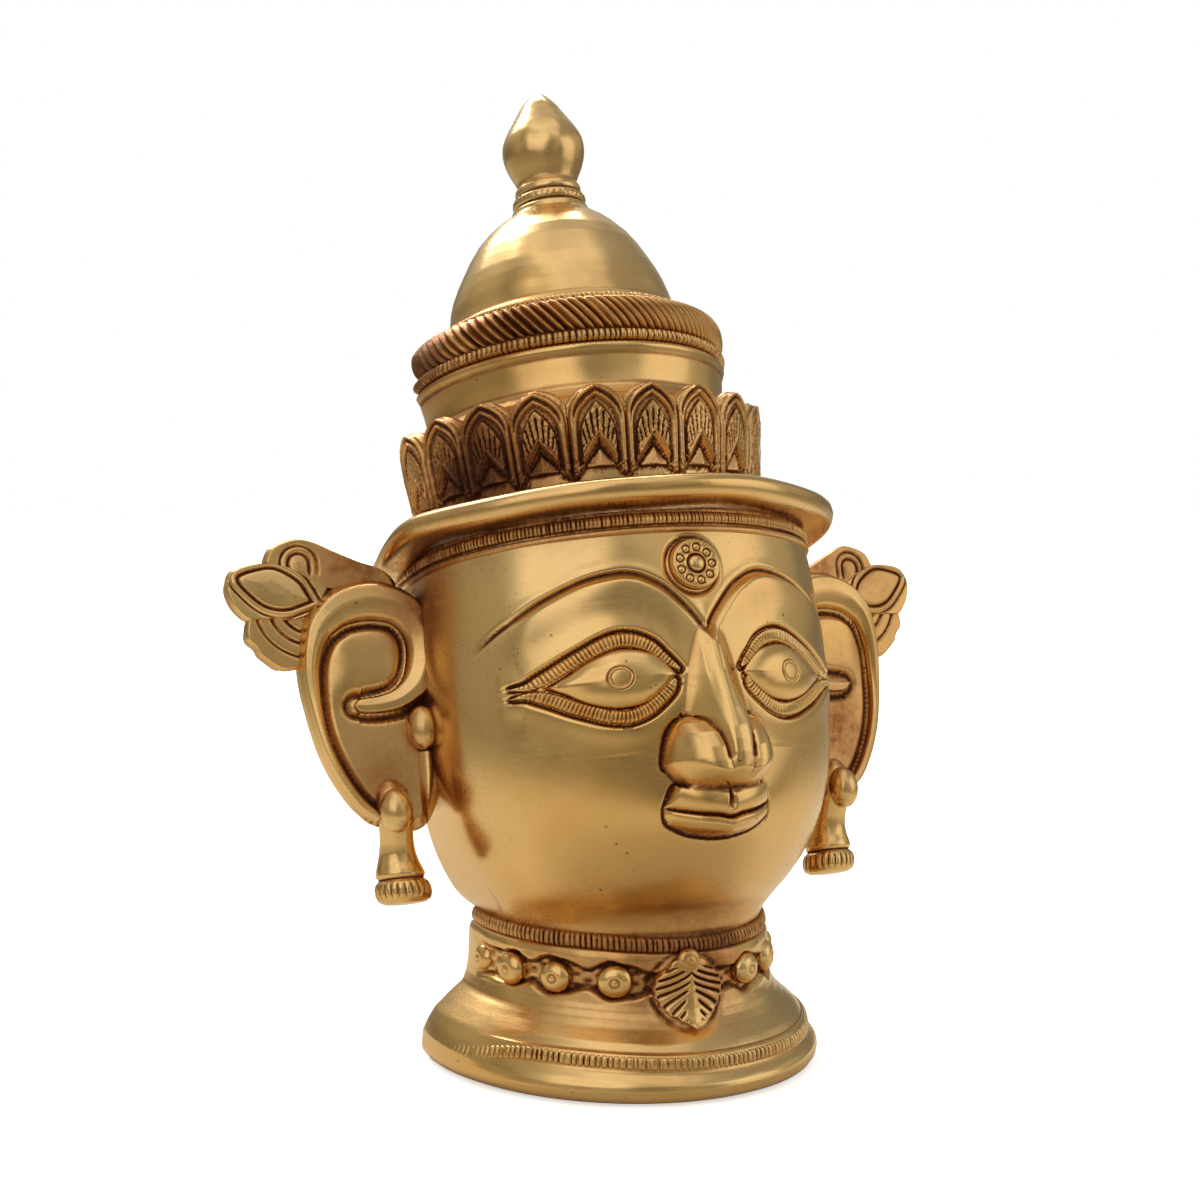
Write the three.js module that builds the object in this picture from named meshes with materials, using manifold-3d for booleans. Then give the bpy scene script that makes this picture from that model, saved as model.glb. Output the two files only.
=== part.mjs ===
// Goddess face mask: one hollow brass casting, half round with an open flat back, on its own flared foot.
// Millimetres. +Z is up, the face looks towards -Y, and the origin is on the ground under the middle.
import * as THREE from 'three';
import { mergeVertices } from 'three/addons/utils/BufferGeometryUtils.js';
import Module from 'manifold-3d';

const wasm = await Module();
wasm.setup();

// How the mask stands: the foot and neck are upright, and the head leans back about a pivot in the neck
const headLean = THREE.MathUtils.degToRad(16);
const footCentre = 4;
const neckPivot = { y: -2, z: 45.8 };
const footBack = 14;
const headBack = 9;
const wall = 4.5;

// Depth of the round forms, front to back, for a width of 1
const footDepth = 1.1;
const crownDepth = 1.064;

// Face: widest at the temples, closing to the chin below and to the brow band above
const templeRadius = 64.4;
const templeHeight = 66;
const chinDrop = 84;
const foreheadTaper = 1.9;
const foreheadTop = 96;
const faceWidth = 0.934;
const faceFront = 0.844;
const faceCentre = -0.22;
const faceBack = 2;

// Heights in the head's own frame
const brimHeight = 104;
const petalFoot = 110;
const petalTop = 138;
const ropeHeight = 161.5;
const finialTop = 248.84;

// The brim's two ends draw in and droop towards the back
const brimRoot = 58;
const brimRadius = 71.2;
const brimTaper = 5;
const brimDroop = 5;
const brimEndFrom = 60;
const brimEndTo = 95;

// Sides of the round forms, outside and in the hollow
const roundSides = 36;
const hollowSides = 18;
const smallSides = 16;

// Repeats
const petalCount = 20;
const ropeStrands = 54;
const beadAngles = [28.5, 50, 71, 92];

const rad = THREE.MathUtils.degToRad;

// A closed geometry becomes a solid: shared corners are merged and the flat leftovers at the poles dropped.
// A mirrored one has its faces turned round, so that they all point out.
function solid(geometry) {
  geometry.deleteAttribute('normal');
  geometry.deleteAttribute('uv');
  const merged = mergeVertices(geometry, 1e-3);
  const corners = merged.index.array;
  const kept = [];
  for (let i = 0; i < corners.length; i += 3) {
    const [a, b, c] = [corners[i], corners[i + 1], corners[i + 2]];
    if (a !== b && b !== c && c !== a) kept.push(a, b, c);
  }
  const vertProperties = new Float32Array(merged.attributes.position.array);
  const build = (triangles) => new wasm.Manifold(
    new wasm.Mesh({ numProp: 3, vertProperties, triVerts: new Uint32Array(triangles) }),
  );
  const made = build(kept);
  return made.volume() > 0 ? made : build(kept.reverse());
}

// Each corner of a geometry moved by place(x, y, z), which returns the new point
function moved(geometry, place) {
  const position = geometry.attributes.position;
  for (let i = 0; i < position.count; i += 1) {
    const [x, y, z] = place(position.getX(i), position.getY(i), position.getZ(i));
    position.setXYZ(i, x, y, z);
  }
  return geometry;
}

// From the head's frame, which leans back, to the mask's
function fromHead([x, y, z]) {
  const cos = Math.cos(headLean);
  const sin = Math.sin(headLean);
  return [x, neckPivot.y + y * cos + z * sin, neckPivot.z - y * sin + z * cos];
}

// The foot and neck stand upright round their own centre line
const upright = ([x, y, z]) => [x, y + footCentre, z];

// A turned form: [radius, height] pairs from the axis, round the outside and back to the axis
function turned(profile, segments, depth, frame) {
  const points = profile.map(([radius, height]) => new THREE.Vector2(radius, height));
  const geometry = new THREE.LatheGeometry(points, segments);
  return solid(moved(geometry, (x, y, z) => frame([x, -z * depth, y])));
}

// A flat outline given thickness: place gets the outline's two coordinates and the level,
// which is 0 at the root and 1 on top
function raised(outline, place, holes = []) {
  const leftHanded = (path) => {
    const points = path.map(([x, y]) => new THREE.Vector2(x, y));
    return THREE.ShapeUtils.isClockWise(points) ? points.reverse() : points;
  };
  const shape = new THREE.Shape(leftHanded(outline));
  shape.holes = holes.map((hole) => new THREE.Path(leftHanded(hole)));
  const geometry = new THREE.ExtrudeGeometry(shape, { depth: 1, steps: 1, bevelEnabled: false });
  return solid(moved(geometry, place));
}

function joined(solids) {
  return solids.reduce((sum, next) => sum.add(next));
}

// Points along a smooth open curve through the given ones
function smooth(points, count) {
  const corners = points.map(([x, y]) => new THREE.Vector3(x, y, 0));
  const curve = new THREE.CatmullRomCurve3(corners);
  return curve.getSpacedPoints(count).map((point) => [point.x, point.y]);
}

const mirrored = (points) => points.map(([x, y]) => [-x, y]).reverse();

// Face surface

function faceRadius(height) {
  if (height > templeHeight) {
    const rise = (height - templeHeight) / (foreheadTop - templeHeight);
    return templeRadius - foreheadTaper * rise ** 2;
  }
  const drop = (templeHeight - height) / chinDrop;
  return templeRadius * Math.sqrt(Math.max(0, 1 - drop ** 3));
}

// The face's section is an ellipse in front of its widest line and nearly straight behind it
function faceSection(radius, turn) {
  const cos = Math.cos(turn);
  const reach = cos > 0 ? faceFront : faceBack;
  return [faceWidth * radius * Math.sin(turn), faceCentre * radius - reach * radius * cos];
}

// A point on the face, by its place in a front view, stood off the surface by lift
function onFace(x, height, lift) {
  const radius = faceRadius(height);
  const side = THREE.MathUtils.clamp(x / (faceWidth * radius), -0.995, 0.995);
  const turn = Math.asin(side);
  const [sx, sy] = faceSection(radius, turn);
  const out = new THREE.Vector2(Math.sin(turn) / faceWidth, -Math.cos(turn) / faceFront).normalize();
  return fromHead([sx + out.x * lift, sy + out.y * lift, height]);
}

function faceBlock(inset, segments, rows) {
  const lowest = templeHeight - chinDrop;
  const profile = [[0, lowest + inset]];
  for (let i = 1; i <= rows; i += 1) {
    const height = lowest + (foreheadTop - lowest) * (1 - (1 - i / rows) ** 1.25);
    const offset = Math.max(height, lowest + inset + 1);
    profile.push([Math.max(faceRadius(offset) - inset, 4), offset]);
  }
  profile.push([templeRadius - foreheadTaper - inset - 1.5, brimHeight]);
  profile.push([0, brimHeight]);
  const points = profile.map(([radius, height]) => new THREE.Vector2(radius, height));
  const geometry = new THREE.LatheGeometry(points, segments);
  return solid(moved(geometry, (x, y, z) => {
    const radius = Math.hypot(x, z);
    const [sx, sy] = faceSection(radius, Math.atan2(x, z));
    return fromHead([sx, sy, y]);
  }));
}

// Foot and neck

function footAndNeck() {
  const outside = [
    [0, 0], [54, 0], [56.8, 4], [54, 10.8], [52.8, 14.8], [46.8, 20.4], [43, 27.4], [41, 29],
    [41, 35], [43, 36.4], [41.4, 43.4], [40.2, 44.4], [40.2, 52], [0, 52],
  ];
  return turned(outside, roundSides, footDepth, upright);
}

function footHollow() {
  const inside = [[0, -1], [50.4, -1], [50.4, 9], [41, 21], [37, 28], [36.4, 44], [34, 54], [0, 54]];
  return turned(inside, hollowSides, footDepth, upright);
}

function neckBeads() {
  const bead = { across: 4.5, height: 32, ring: 42.6 };
  return beadAngles.flatMap((angle) => [-angle, angle]).map((angle) => {
    const turn = rad(angle);
    const geometry = new THREE.SphereGeometry(bead.across, 7, 4);
    return solid(moved(geometry, (x, y, z) => upright([
      x + bead.ring * Math.sin(turn),
      y - bead.ring * footDepth * Math.cos(turn),
      z + bead.height,
    ])));
  });
}

// A palmette hangs over the neck and the top of the flare: a bud, a scalloped leaf and a small oval bead
function neckPendant() {
  const [top, tip, half] = [37, 18.6, 9.8];
  const edge = [[0, tip], [3.4, 20.4], [4.6, 21], [7.4, 23.6], [7.8, 24.8], [half, 27.8],
    [9, 29.4], [8.6, 32.2], [6.8, 32.8], [5.2, 35], [2.6, 34.6], [0, 35.6]];
  const outline = [...edge, ...mirrored(edge).slice(1, -1)];
  const flare = (height) => 45.4 + Math.max(0, 28 - height) ** 1.45 * 0.27;
  const leaf = raised(outline, (x, z, level) => {
    const spread = 1 - 0.12 * level;
    const height = 28 + (z - 28) * spread;
    return upright([x * spread, -flare(height) - 4.6 * level + 4 + x * x * 0.011, height]);
  });
  const bud = new THREE.SphereGeometry(3.3, 8, 6);
  const drop = new THREE.SphereGeometry(2, 8, 6);
  return [
    leaf,
    solid(moved(bud, (x, y, z) => upright([x, y - 46, z + top]))),
    solid(moved(drop, (x, y, z) => upright([x, y * 0.8 - 47.8, z * 1.3 + 28.4]))),
  ];
}

// Crown

function onBrim([x, y, z]) {
  const across = Math.hypot(x, y / crownDepth);
  const turn = THREE.MathUtils.radToDeg(Math.atan2(Math.abs(x), -y / crownDepth));
  const isBrim = across > brimRoot && z < petalFoot;
  const share = isBrim ? THREE.MathUtils.smoothstep(turn, brimEndFrom, brimEndTo) : 0;
  const drawn = 1 - (brimTaper / brimRadius) * share;
  return fromHead([x * drawn, y * drawn, z - brimDroop * share]);
}

function crownBody() {
  const outside = [
    [0, 99], [60, 99], [70.4, 101.4], [brimRadius, 105.8], [54, 109.2], [50.4, petalFoot],
    [52, 132], [45, 140.4], [44.8, 150.8], [45.8, 151.8], [44.8, 157], [41, 158],
    [40, 167], [34.4, 173], [33.2, 179], [29.6, 188], [22, 200], [14.6, 206],
    [0, 206.4],
  ];
  return turned(outside, roundSides, crownDepth, onBrim);
}

// The finial: a ringed collar under an onion bud
function finial() {
  const outside = [
    [0, 204], [14.4, 205], [12.2, 208], [11.8, 209.8], [10.6, 210.6], [11, 213.4], [9.4, 215],
    [9.4, 218.8], [12.2, 225.4], [12.4, 231], [7, 241.6], [0, finialTop],
  ];
  return turned(outside, smallSides, crownDepth, fromHead);
}

function crownHollow() {
  const inside = [[0, 98], [56, 98], [56, 104], [46.6, 111], [46.6, 130], [40.4, 140], [38, 164], [30.4, 171],
    [28.4, 180], [21.8, 193.6], [9, 203.6], [0, 205]];
  return turned(inside, hollowSides, crownDepth, fromHead);
}

// A thick rope round the foot of the dome, its strands running down towards the right
function ropeBand() {
  const [ring, half, strandLift, slant] = [42.2, 4.6, 0.45, 0.021];
  const outside = [[39.6, -half], [ring, -half], [ring + 4.2, -half * 0.4], [ring + 4, half * 0.5],
    [39.6, half + 0.8]];
  const points = [...outside, outside[0]].map(([radius, height]) => new THREE.Vector2(radius, height));
  const stations = ropeStrands * 2;
  const geometry = new THREE.LatheGeometry(points, stations);
  return solid(moved(geometry, (x, y, z) => {
    const radius = Math.hypot(x, z);
    const turn = Math.atan2(x, z);
    const onRidge = Math.abs(Math.round(turn / (2 * Math.PI) * stations)) % 2 === 0;
    const lift = radius > ring ? strandLift * (onRidge ? 1 : -1) : 0;
    const slid = turn - slant * y;
    const out = radius + lift;
    return fromHead([out * Math.sin(slid), -crownDepth * out * Math.cos(slid), y + ropeHeight]);
  }));
}

// Lotus petals stand round the crown, leaning out to the top:
// a round-headed leaf, an inner leaf and a small pyramid
function lotusPetals() {
  const half = 7.3;
  const height = petalTop - petalFoot;
  const leaf = [[-half, 0], [half, 0], [half, height * 0.6], [half * 0.6, height * 0.9], [0, height],
    [-half * 0.6, height * 0.9], [-half, height * 0.6]];
  const inner = [[-3.8, 6], [3.8, 6], [4.2, 15], [0, 22], [-4.2, 15]];
  const pyramid = [[-3.4, 0.8], [3.4, 0.8], [0, 6]];
  const around = (turn, root, top, shrink, middle) => (x, z, level) => {
    const tall = middle + (z - middle) * (1 - shrink * level);
    const radius = 50.4 + tall * 0.115 + root + (top - root) * level;
    const angle = turn + x * (1 - shrink * level) / 50.4;
    return fromHead([radius * Math.sin(angle), -crownDepth * radius * Math.cos(angle), petalFoot + tall]);
  };
  const petals = [];
  for (let i = 0; i < petalCount; i += 1) {
    const turn = (i / petalCount) * 2 * Math.PI;
    if (Math.cos(turn) < -0.2) continue;
    petals.push(raised(leaf, around(turn, -2, 1.5, 0.1, height / 2)));
    petals.push(raised(inner, around(turn, -1, 2.6, 0.2, 14)));
    petals.push(raised(pyramid, around(turn, -1, 3, 0.7, 2.6)));
  }
  return petals;
}

// Face

function bindi() {
  const [height, across, rim] = [82.3, 7.6, 5.9];
  const circle = (radius, count) => Array.from({ length: count }, (_, i) => {
    const turn = (i / count) * 2 * Math.PI;
    return [radius * Math.cos(turn), height + radius * Math.sin(turn)];
  });
  const ring = raised(circle(across, 16), (x, z, level) => onFace(x, z, 3.6 * level - 2), [circle(rim, 12)]);
  const disc = raised(circle(rim + 0.6, 12), (x, z, level) => onFace(x, z, 2.7 * level - 2));
  const boss = raised(circle(2.2, 6), (x, z, level) => onFace(x, z, 3.6 * level - 2));
  return [ring, disc, boss];
}

// The socket below each brow line stands proud of the forehead, with a sharp upper edge
function browPlate(side) {
  const line = smooth([[0.6, 65.6], [6.8, 73.8], [14.6, 80], [23, 81.9], [33, 80.2], [43, 75.6], [54, 66]], 9);
  const lower = smooth([[50, 63], [40, 66.4], [30, 69.6], [22, 70.6], [14, 68.4], [7, 62], [1.6, 57]], 6);
  const outline = [...line, ...lower];
  return raised(outline.map(([x, z]) => [side * x, z]), (x, z, level) => {
    const ax = Math.abs(x);
    const upper = z > 81.9 - ((ax - 23) / 23) ** 2 * 14 - 2.4;
    return onFace(x, z, level === 0 ? -2.5 : upper ? 1.1 : -1);
  });
}

function almond(inner, outer, top, bottom, count) {
  const upper = smooth([inner, [inner[0] + 5, (inner[1] + top[1] * 2) / 3], top,
    [(outer[0] + top[0]) / 2 + 1, (outer[1] + top[1] * 1.4) / 2.4], outer], count);
  const lower = smooth([outer, [(outer[0] + bottom[0]) / 2 + 1, (outer[1] + bottom[1] * 1.4) / 2.4], bottom,
    [inner[0] + 5, (inner[1] + bottom[1] * 2) / 3], inner], count);
  return [...upper, ...lower.slice(1, -1)];
}

function eye(side) {
  const opening = almond([10.6, 53], [39.6, 53], [24, 60.8], [25.6, 45.4], 4);
  const lid = almond([7.6, 54.6], [46.6, 53.3], [23.4, 65.2], [24, 41], 5);
  const sided = (points) => points.map(([x, z]) => [side * x, z]);
  const lids = raised(sided(lid), (x, z, level) => onFace(x, z, 3.6 * level - 2.2), [sided(opening)]);
  const ball = new THREE.SphereGeometry(1, 10, 6);
  const eyeball = solid(moved(ball, (x, y, z) => {
    const pinch = (1 - x * x) ** 0.35;
    return onFace(side * (25.1 + 16.4 * x), 53 + 9 * z * pinch, -y * 3.4 * pinch - 0.2);
  }));
  return [lids, eyeball];
}

// The nose: a narrow flat ridge, flanks that widen downwards, and a domed wing on each side
function nose() {
  const rows = [
    { z: 66, half: 2.2, foot: 3.2, front: -70.4 },
    { z: 60, half: 2.2, foot: 4.6, front: -72.6 },
    { z: 53, half: 2.4, foot: 7, front: -74.4 },
    { z: 42, half: 2.6, foot: 9.4, front: -79 },
    { z: 33.5, half: 2.8, foot: 11, front: -81.8 },
    { z: 27, half: 3, foot: 12, front: -81 },
    { z: 22.4, half: 3, foot: 10, front: -73 },
  ];
  const geometry = new THREE.BoxGeometry(1, 1, 1, 3, rows.length - 1, 1);
  const body = solid(moved(geometry, (x, y, z) => {
    const row = rows[Math.round((0.5 - y) * (rows.length - 1))];
    const across = Math.abs(x) > 0.4 ? row.foot : row.half;
    const [, sy] = faceSection(faceRadius(row.z), Math.asin(row.foot / (faceWidth * faceRadius(row.z))));
    const front = Math.abs(x) > 0.4 ? sy + 1.5 : row.front;
    return fromHead([Math.sign(x) * across, z > 0 ? front : -50, row.z]);
  }));
  const wings = [-1, 1].map((side) => {
    const ball = new THREE.SphereGeometry(1, 9, 5);
    return solid(moved(ball, (x, y, z) => {
      const low = Math.max(z, -0.5);
      return fromHead([side * 9.4 + x * 7.4, -66.6 + y * 8, 31 + low * 7.8]);
    }));
  });
  return [body, ...wings];
}

// The lips: two bowed rolls that stand well proud in the middle and sink into the cheeks at the corners
function lips() {
  const roll = (corner, middle, half, front) => {
    const geometry = new THREE.SphereGeometry(1, 12, 6);
    return solid(moved(geometry, (x, y, z) => {
      const flat = Math.sign(z) * Math.abs(z) ** 0.7;
      const bow = 1 - x * x;
      const height = corner + (middle - corner) * bow + flat * half;
      return fromHead([x * 16.4, -57.5 - bow * (front - 57.5) * (y < 0 ? -y * 0.35 + 0.65 : 0.4), height]);
    }));
  };
  return [roll(20.6, 17.9, 3.4, 72.4), roll(15.6, 11.4, 3.1, 70.6)];
}

// Ears: outlines in the head's frame, seen from the front on the side of +X

const earFront = -9.5;
const earSlope = 0.15;

// The ear's front plane falls back a little towards its outer edge
function onEar(side, x, z, proud) {
  return fromHead([side * x, earFront + earSlope * (x - 60) - proud, z]);
}

function earShape(side, outline, low, high, shrink = 0) {
  const count = outline.length;
  const middle = outline.reduce(([sx, sz], [x, z]) => [sx + x / count, sz + z / count], [0, 0]);
  const sided = outline.map(([x, z]) => [side * x, z]);
  return raised(sided, (sx, z, level) => {
    const scale = 1 - shrink * level;
    const x = middle[0] + (side * sx - middle[0]) * scale;
    return onEar(side, x, middle[1] + (z - middle[1]) * scale, low + (high - low) * level);
  });
}

function ear(side) {
  const rim = [[73.9, 25.8], [84.3, 35.3], [91, 51.4], [94, 66], [92.4, 78.4], [87.6, 87.6],
    [79, 92.4], [68.6, 92.8], [59.6, 87.6]];
  const plate = [...rim, [50, 78], [50, 40], [62, 25]];
  const hook = [...rim, [55.2, 78], [55, 66], [60, 58.6], [77, 57.8], [77.4, 61.8],
    [68, 63], [63, 69], [64.4, 76.8], [71, 81], [79.6, 79.2], [86, 72], [87.2, 62],
    [83.8, 48], [76, 35]];
  const parts = [earShape(side, plate, -12, 0), earShape(side, hook, -2, 4.2, 0.015)];
  const knob = new THREE.SphereGeometry(1, 8, 5);
  parts.push(solid(moved(knob, (x, y, z) => onEar(side, 59.2 + side * x * 3.6, 52.7 + z * 5.4, -y * 4 + 1.2))));
  parts.push(earShape(side, [[58.6, 45], [63, 45], [62, 25], [60.4, 25]], -6, 1.4));
  return parts;
}

function earLeaves(side) {
  const big = [[86, 86], [94, 83], [106, 84.2], [111.8, 89.6], [112.2, 95.4], [106.1, 99],
    [97, 98.6], [84, 91]];
  const almondPanel = [[107.6, 95], [99, 96.2], [88.4, 90.6], [92, 87], [101.6, 87.8]];
  const scroll = [[84, 89], [90, 94], [99.4, 99], [97.6, 104], [91.5, 105.9], [79.7, 101.7],
    [66, 98.4], [64, 90]];
  const lower = [[86, 86], [89, 74], [92.5, 68.6], [97, 68.6], [103.8, 73], [107, 78.6],
    [106.6, 85], [100, 88]];
  return [
    earShape(side, big, -8, -0.6, 0.06),
    earShape(side, almondPanel, -3, 0.6, 0.1),
    earShape(side, scroll, -8, -2, 0.04),
    earShape(side, lower, -8, -2, 0.06),
  ];
}

// The ear pendant: a long bead under the lobe, a bell and a notched round cap
function earPendant(side) {
  const profile = [[0, 3.8], [6.6, 4.4], [8, 7.6], [6.6, 10.6], [7, 11.4], [4.9, 18.4],
    [3.9, 25.4], [4.5, 30], [0, 37]];
  const points = profile.map(([radius, height]) => new THREE.Vector2(radius, height));
  const geometry = new THREE.LatheGeometry(points, 12);
  return solid(moved(geometry, (x, y, z) => fromHead([x + side * (68 + y * 0.05), -z - 3.5, y])));
}

// The flat cut behind: everything behind both the foot's upright plane and the head's leaning plane goes
function behind() {
  const big = 400;
  const uprightHalf = new THREE.BoxGeometry(big, big, big);
  const leaningHalf = new THREE.BoxGeometry(big, big, big * 2);
  const backOfFoot = solid(moved(uprightHalf, (x, y, z) => [x, y + footBack + big / 2, z + big / 2 - 10]));
  const backOfHead = solid(moved(leaningHalf, (x, y, z) => fromHead([x, y + headBack + big / 2, z])));
  return backOfFoot.intersect(backOfHead);
}

function maskSolid() {
  const outside = joined([
    footAndNeck(), faceBlock(0, roundSides, 11), crownBody(), finial(), ropeBand(), ...lotusPetals(),
    ...neckBeads(), ...neckPendant(), ...bindi(), ...[-1, 1].map(browPlate), ...[-1, 1].flatMap(eye), ...nose(), ...lips(),
    ...[-1, 1].flatMap(ear), ...[-1, 1].flatMap(earLeaves), ...[-1, 1].map(earPendant),
  ]);
  const hollow = joined([footHollow(), faceBlock(wall, hollowSides, 8), crownHollow()]);
  return outside.subtract(hollow).subtract(behind());
}

const shell = maskSolid().getMesh();
const geometry = new THREE.BufferGeometry();
geometry.setAttribute('position', new THREE.BufferAttribute(new Float32Array(shell.vertProperties), 3));
geometry.setIndex(new THREE.BufferAttribute(new Uint32Array(shell.triVerts), 1));
geometry.computeVertexNormals();

const brass = new THREE.MeshStandardMaterial({ color: 0xc9993f, roughness: 0.28, metalness: 1 });
const mask = new THREE.Mesh(geometry, brass);
mask.name = 'goddess_mask';

const goddessMask = new THREE.Group();
goddessMask.name = 'goddess_face_mask';
goddessMask.add(mask);

export default goddessMask;
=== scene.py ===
import math

import bpy
import numpy as np
from mathutils import Matrix, Vector


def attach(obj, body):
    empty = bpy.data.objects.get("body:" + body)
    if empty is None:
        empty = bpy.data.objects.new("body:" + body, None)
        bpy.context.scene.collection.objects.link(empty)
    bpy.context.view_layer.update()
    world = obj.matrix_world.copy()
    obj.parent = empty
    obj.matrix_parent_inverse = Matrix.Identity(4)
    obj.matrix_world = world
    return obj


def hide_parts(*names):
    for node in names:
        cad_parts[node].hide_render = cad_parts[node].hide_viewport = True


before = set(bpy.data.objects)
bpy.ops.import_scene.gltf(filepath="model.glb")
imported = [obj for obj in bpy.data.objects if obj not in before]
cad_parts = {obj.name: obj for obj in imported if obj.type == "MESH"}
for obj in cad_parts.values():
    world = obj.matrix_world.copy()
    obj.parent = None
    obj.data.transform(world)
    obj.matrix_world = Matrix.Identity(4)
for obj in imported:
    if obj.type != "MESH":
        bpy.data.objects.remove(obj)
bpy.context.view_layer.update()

bpy.ops.object.select_all(action="DESELECT")
mask_pieces = []

# Foot
# The flared foot and the neck are the lower end of the casting, turned smooth and polished by hand.
# The wall is 4.5 mm of brass, open below and flat behind. It stands on its rim.

foot_centre, foot_back = 4.0, 10.0
foot_depth = 1.1
bead_height = 30.0
bead_turns = [-88.5, -69.8, -50.2, -28.1, 28.6, 50.5, 70, 89]
pendant_off = 1.0


def smooth_line(points, count):
    """A rounded line through the given points, evenly spaced along its length."""
    points = np.array(points, float)
    padded = np.vstack([2 * points[0] - points[1], points, 2 * points[-1] - points[-2]])
    fine = []
    for i in range(len(points) - 1):
        a, b, c, d = padded[i:i + 4]
        t = np.linspace(0, 1, 24, endpoint=False)[:, None]
        fine.append(0.5 * (2 * b + (c - a) * t + (2 * a - 5 * b + 4 * c - d) * t ** 2
                           + (3 * b - a - 3 * c + d) * t ** 3))
    fine = np.vstack(fine + [points[-1:]])
    run = np.concatenate([[0], np.cumsum(np.linalg.norm(np.diff(fine[:, :2], axis=0), axis=1))])
    steps = np.linspace(0, run[-1], count)
    return np.column_stack([np.interp(steps, run, fine[:, k]) for k in range(fine.shape[1])])


def even_line(points, spacing):
    """Straight runs between the given corners, cut into steps of about that length."""
    points = np.array(points, float)
    out = [points[0]]
    for a, b in zip(points[:-1], points[1:]):
        steps = max(1, int(round(np.linalg.norm(b - a) / spacing)))
        out += [a + (b - a) * k / steps for k in range(1, steps + 1)]
    return np.array(out)


def step(low, high, value):
    """A smooth rise from 0 at low to 1 at high, or a fall where low is the larger."""
    t = np.clip((value - low) / (high - low), 0, 1)
    return t * t * (3 - 2 * t)


def step_round(low, high, turn):
    """The same going round the mask, between two angles in degrees."""
    return step(math.radians(low), math.radians(high), turn)


def hump(value, width, power=2):
    """A rounded hump, 1 where value is 0, that dies away on both sides within about that width."""
    return np.exp(-(value / width) ** power)


def shaped_sheet(name, columns, rows, place):
    """A grid whose points are put in their place, in millimetres, by column and row number."""
    bpy.ops.object.select_all(action="DESELECT")
    bpy.ops.mesh.primitive_grid_add(x_subdivisions=columns, y_subdivisions=rows, size=1)
    sheet = bpy.context.object
    sheet.name = name
    sheet.data.name = name
    grid = np.empty(len(sheet.data.vertices) * 3, np.float32)
    sheet.data.vertices.foreach_get("co", grid)
    grid = grid.reshape(-1, 3)
    i = np.rint((grid[:, 0] - grid[:, 0].min()) / np.ptp(grid[:, 0]) * columns).astype(int)
    j = np.rint((grid[:, 1] - grid[:, 1].min()) / np.ptp(grid[:, 1]) * rows).astype(int)
    points = np.column_stack(place(i, j)).astype(np.float32) / 1000
    sheet.data.vertices.foreach_set("co", points.ravel())
    sheet.data.update()
    return sheet


def closed_up(piece, root=None):
    """Closes a carved sheet: its edge is drawn down by root, in millimetres, and every hole is filled."""
    bpy.ops.object.mode_set(mode="EDIT")
    bpy.ops.mesh.select_mode(type="EDGE")
    bpy.ops.mesh.select_all(action="SELECT")
    bpy.ops.mesh.remove_doubles(threshold=2e-6)
    bpy.ops.mesh.select_all(action="DESELECT")
    if root is not None:
        bpy.ops.mesh.select_non_manifold()
        bpy.ops.mesh.extrude_edges_move()
        bpy.ops.transform.translate(value=Vector(root) / 1000)
    bpy.ops.mesh.select_all(action="SELECT")
    bpy.ops.mesh.fill_holes(sides=0)
    bpy.ops.mesh.select_all(action="SELECT")
    bpy.ops.mesh.normals_make_consistent(inside=False)
    bpy.ops.object.mode_set(mode="OBJECT")
    bpy.ops.object.shade_smooth_by_angle(angle=math.radians(50))
    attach(piece, "root")
    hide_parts("goddess_mask")
    mask_pieces.append(piece)


def on_foot(radius, height, turn):
    """A point round the upright foot: turn 0 is the front."""
    return (radius * np.sin(turn), foot_centre - foot_depth * radius * np.cos(turn), height)


def foot_turns(radius, share):
    """How far round the back cut lets a ring of that radius go, times share from -1 to 1."""
    return share * np.arccos(np.clip(-foot_back / (foot_depth * radius), -1, 1))


foot_outside = even_line([
    (50.6, 0.2), (54.6, 0.0), (56.4, 0.8), (57.4, 2.2), (57.7, 3.8), (57.4, 5.4), (56.7, 6.6), (55.8, 7.6),
    (55.1, 8.4), (54.8, 9.2), (54.3, 12.7), (53.9, 13.2), (53.1, 13.5), (52.8, 14.0), (51.6, 15.4),
    (49.9, 16.8), (48.0, 18.4), (46.3, 20.2), (45.0, 22.2), (44.3, 24.0), (43.9, 26.0), (43.6, 28.0),
    (43.4, 33.0), (43.2, 36.4), (42.7, 37.8), (41.7, 38.4), (41.0, 38.8), (40.9, 41.5), (40.4, 43.0),
    (40.2, 44.5),
], 0.55)
foot_inside = even_line([(36.0, 44.5), (36.4, 42), (37, 28), (41, 21), (50.4, 9), (50.6, 0.2)], 4)
foot_loop = np.vstack([foot_outside, foot_inside])
foot_columns = 216


def hand_sway(height, turn):
    """How far the hand-made rings of the foot and neck wander up and down as they go round."""
    falling = step_round(-45, 8, turn)
    rising = step_round(35, 85, turn)
    return (0.45 - 1.4 * falling * (1 - 0.5 * rising)) * step(4, 9, height)


def left_flare(height):
    """The flare's line at its left end, where the band on it sags and runs out."""
    heights = [3.8, 7.3, 10.7, 13.8, 17, 19.4, 21, 24]
    return np.interp(height, heights, [57.7, 57.3, 55.6, 53.6, 50.1, 47.3, 45.3, 44.3])


def bead_hollow(height, turn):
    """Depth of the rough hollow behind the neck beads, which widens round each of them."""
    away = np.min(np.abs(np.degrees(turn)[:, None] - np.array(bead_turns)), axis=1)
    half = 3.3 + 1.9 * hump(away, 6.4) + 0.35 * np.sin(31 * turn) + 0.3 * np.sin(13 * turn + 1)
    depth = 2.2 + 0.25 * np.sin(40 * turn) * np.sin(2.1 * height)
    depth = depth * step_round(-91, -79, turn)
    return depth * step(half + 0.5, half - 0.8, np.abs(height - bead_height))


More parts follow.
